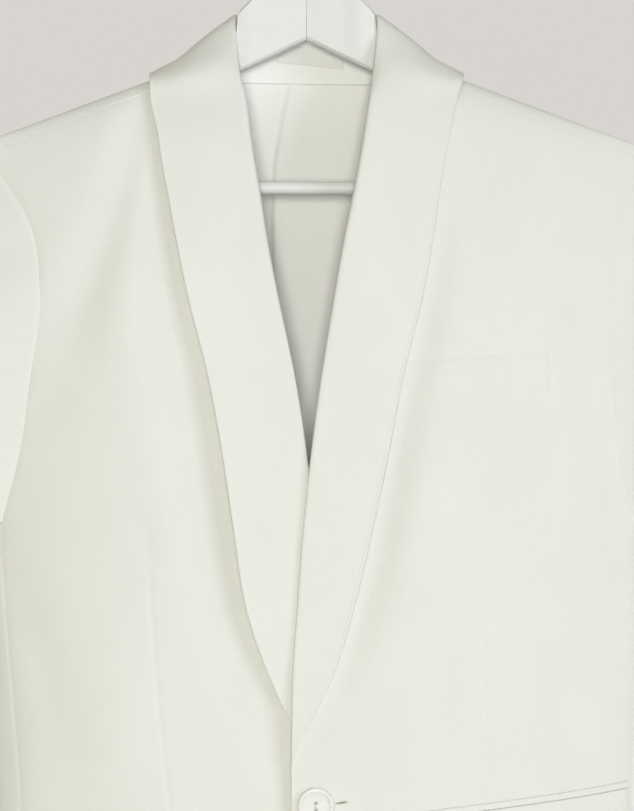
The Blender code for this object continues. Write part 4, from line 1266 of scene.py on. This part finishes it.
def make_hanger_half(side):
    """One arm: sections with chamfered edges along its length, meeting the other at the middle."""
    name = which(side)
    chamfer = 0.0018
    stops = list(np.linspace(0.0001, 0.050, 61)) + list(np.linspace(0.051, ARM_REACH, 50))
    stops += [ARM_REACH + 0.0007, ARM_END]
    shape = bmesh.new()
    rings = []
    for across in stops:
        reach = min(across, ARM_REACH)
        upper, lower = ARM.at("upper", reach), ARM.at("lower", reach)
        middle, thick = -ARM.at("forward", reach), ARM.at("half_thick", reach)
        if across > ARM_REACH:
            lower = BAR_Z - 0.0085
            upper -= 0.5 * (across - ARM_REACH)
        section = (
            (middle - thick + chamfer, upper),
            (middle + thick - chamfer, upper),
            (middle + thick, upper - chamfer),
            (middle + thick, lower + chamfer),
            (middle + thick - chamfer, lower),
            (middle - thick + chamfer, lower),
            (middle - thick, lower + chamfer),
            (middle - thick, upper - chamfer),
        )
        rings.append([shape.verts.new((side * across, y, z)) for y, z in section])
    for first, second in zip(rings, rings[1:]):
        for i in range(8):
            j = (i + 1) % 8
            shape.faces.new((first[i], first[j], second[j], second[i]))
    shape.faces.new(rings[0])
    shape.faces.new(list(reversed(rings[-1])))
    mesh = finished_mesh(shape, f"arm_{name}_painted")
    mesh.shade_smooth()
    made = bpy.data.objects.new(mesh.name, mesh)
    bevel = made.modifiers.new("eased_edges", "BEVEL")
    bevel.width = 0.0006
    bevel.segments = 3
    bevel.limit_method = "ANGLE"
    bevel.angle_limit = math.radians(28)
    bevel.harden_normals = True
    show(made, f"hanger_arm_{name}", PAINT)


def make_rod(name, node, points, radius, finish):
    add_round_lines(name, node, [points], radius, finish, segments=8)


def make_hook():
    """A shank that leans out and comes back over the middle as a round crown."""
    centre = HOOK_WIRE - HOOK_RADIUS
    start, turn = -62, 205
    low_z = HANGER_TOP + 0.010
    points = [(0, 0, HANGER_TOP + 0.0003), (0, 0, low_z)]
    join_x = HOOK_RADIUS * math.cos(math.radians(start))
    join_z = centre + HOOK_RADIUS * math.sin(math.radians(start))
    for t in np.linspace(0, 1, 12)[1:-1]:
        points.append((join_x * t * t * (3 - 2 * t), 0, low_z + (join_z - low_z) * t))
    for angle in np.radians(np.linspace(start, turn, 64)):
        points.append((HOOK_RADIUS * math.cos(angle), 0, centre + HOOK_RADIUS * math.sin(angle)))
    make_rod("hook_bent", "hanger_hook", points, HOOK_WIRE, STEEL)


def make_hanger():
    for side in (-1, 1):
        make_hanger_half(side)
    points = [(x, BAR_Y, BAR_Z) for x in np.linspace(-BAR_HALF, BAR_HALF, 25)]
    make_rod("bar_painted", "hanger_bar", points, BAR_RADIUS, PAINT)
    make_hook()


# ---------------------------------------------------------------- stage, light and camera
FLOOR_Z = -1.05
WALL = (0.686, 0.665, 0.631)


def make_floor():
    """A plain pale floor below the hem."""
    bpy.ops.mesh.primitive_circle_add(
        vertices=96, radius=1.3, fill_type="NGON", location=(0, 0, FLOOR_Z)
    )
    floor = bpy.context.object
    floor.name = "floor"
    made, tree, shader = new_material("floor_paint", WALL, 0.8)
    bumped(tree, shader, stretched_noise(tree, (0.02, 0.02, 0.02)), 0.0004)
    floor.data.materials.append(made)


def make_world():
    """A plain wall colour behind, and a soft warm light from all round."""
    world = bpy.data.worlds.new("studio")
    world.use_nodes = True
    bpy.context.scene.world = world
    tree = world.node_tree
    light = tree.nodes["Background"]
    light.inputs["Color"].default_value = AMBIENT_COLOUR
    light.inputs["Strength"].default_value = AMBIENT
    wall = tree.nodes.new("ShaderNodeBackground")
    wall.inputs["Color"].default_value = (*WALL, 1)
    path = tree.nodes.new("ShaderNodeLightPath")
    mix = tree.nodes.new("ShaderNodeMixShader")
    tree.links.new(path.outputs["Is Camera Ray"], mix.inputs[0])
    tree.links.new(light.outputs[0], mix.inputs[1])
    tree.links.new(wall.outputs[0], mix.inputs[2])
    tree.links.new(mix.outputs[0], tree.nodes["World Output"].inputs["Surface"])


def add_light(name, place, size, energy, colour):
    light = bpy.data.lights.new(name, "AREA")
    light.size = size
    light.energy = energy
    light.color = colour
    made = bpy.data.objects.new(name, light)
    made.location = place
    way = np.array(LIGHTS_AIM, float) - np.array(place, float)
    made.rotation_euler = Vector(way).to_track_quat("-Z", "Y").to_euler()
    bpy.context.scene.collection.objects.link(made)


AMBIENT = 0.20
AMBIENT_COLOUR = (1.0, 0.94, 0.76, 1)
LIGHTS = (  # name, place, size, energy, colour
    ("key", (3.00, -3.10, 0.10), 1.9, 50.0, (0.80, 0.86, 1.06)),
    ("front", (-0.02, -2.10, -0.34), 0.4, 24.4, (1.0, 0.99, 0.93)),
    ("top", (0.00, -0.20, 1.60), 1.2, 5.5, (1.0, 0.99, 0.96)),
    ("back", (-1.20, 2.60, 0.30), 1.6, 38.0, (1.0, 0.99, 0.96)),
)
LIGHTS_AIM = (0, 0, -0.36)
CAMERA_PLACE = (0.0069, -1.5, -0.3605)
VIEW_HEIGHT = 0.5336     # what the frame takes in at the jacket's middle plane
SENSOR = 36.0


def make_camera():
    camera = bpy.data.cameras.new("camera")
    camera.sensor_width = SENSOR
    camera.lens = SENSOR * -CAMERA_PLACE[1] / VIEW_HEIGHT
    made = bpy.data.objects.new("camera", camera)
    made.location = CAMERA_PLACE
    made.rotation_euler = (math.radians(90), 0, 0)
    bpy.context.scene.collection.objects.link(made)
    bpy.context.scene.camera = made


def main():
    bpy.context.scene.view_settings.view_transform = "Standard"
    make_camera()
    make_world()
    for light in LIGHTS:
        add_light(*light)
    make_floor()
    make_hanger()
    for side in (-1, 1):
        make_front(side)
        make_back(side)
        make_side_panel(side)
        make_sleeve(side)
        make_shawl(side)
    make_pockets()
    make_inside()
    make_button()
    make_stitches()


main()
bpy.context.view_layer.update()
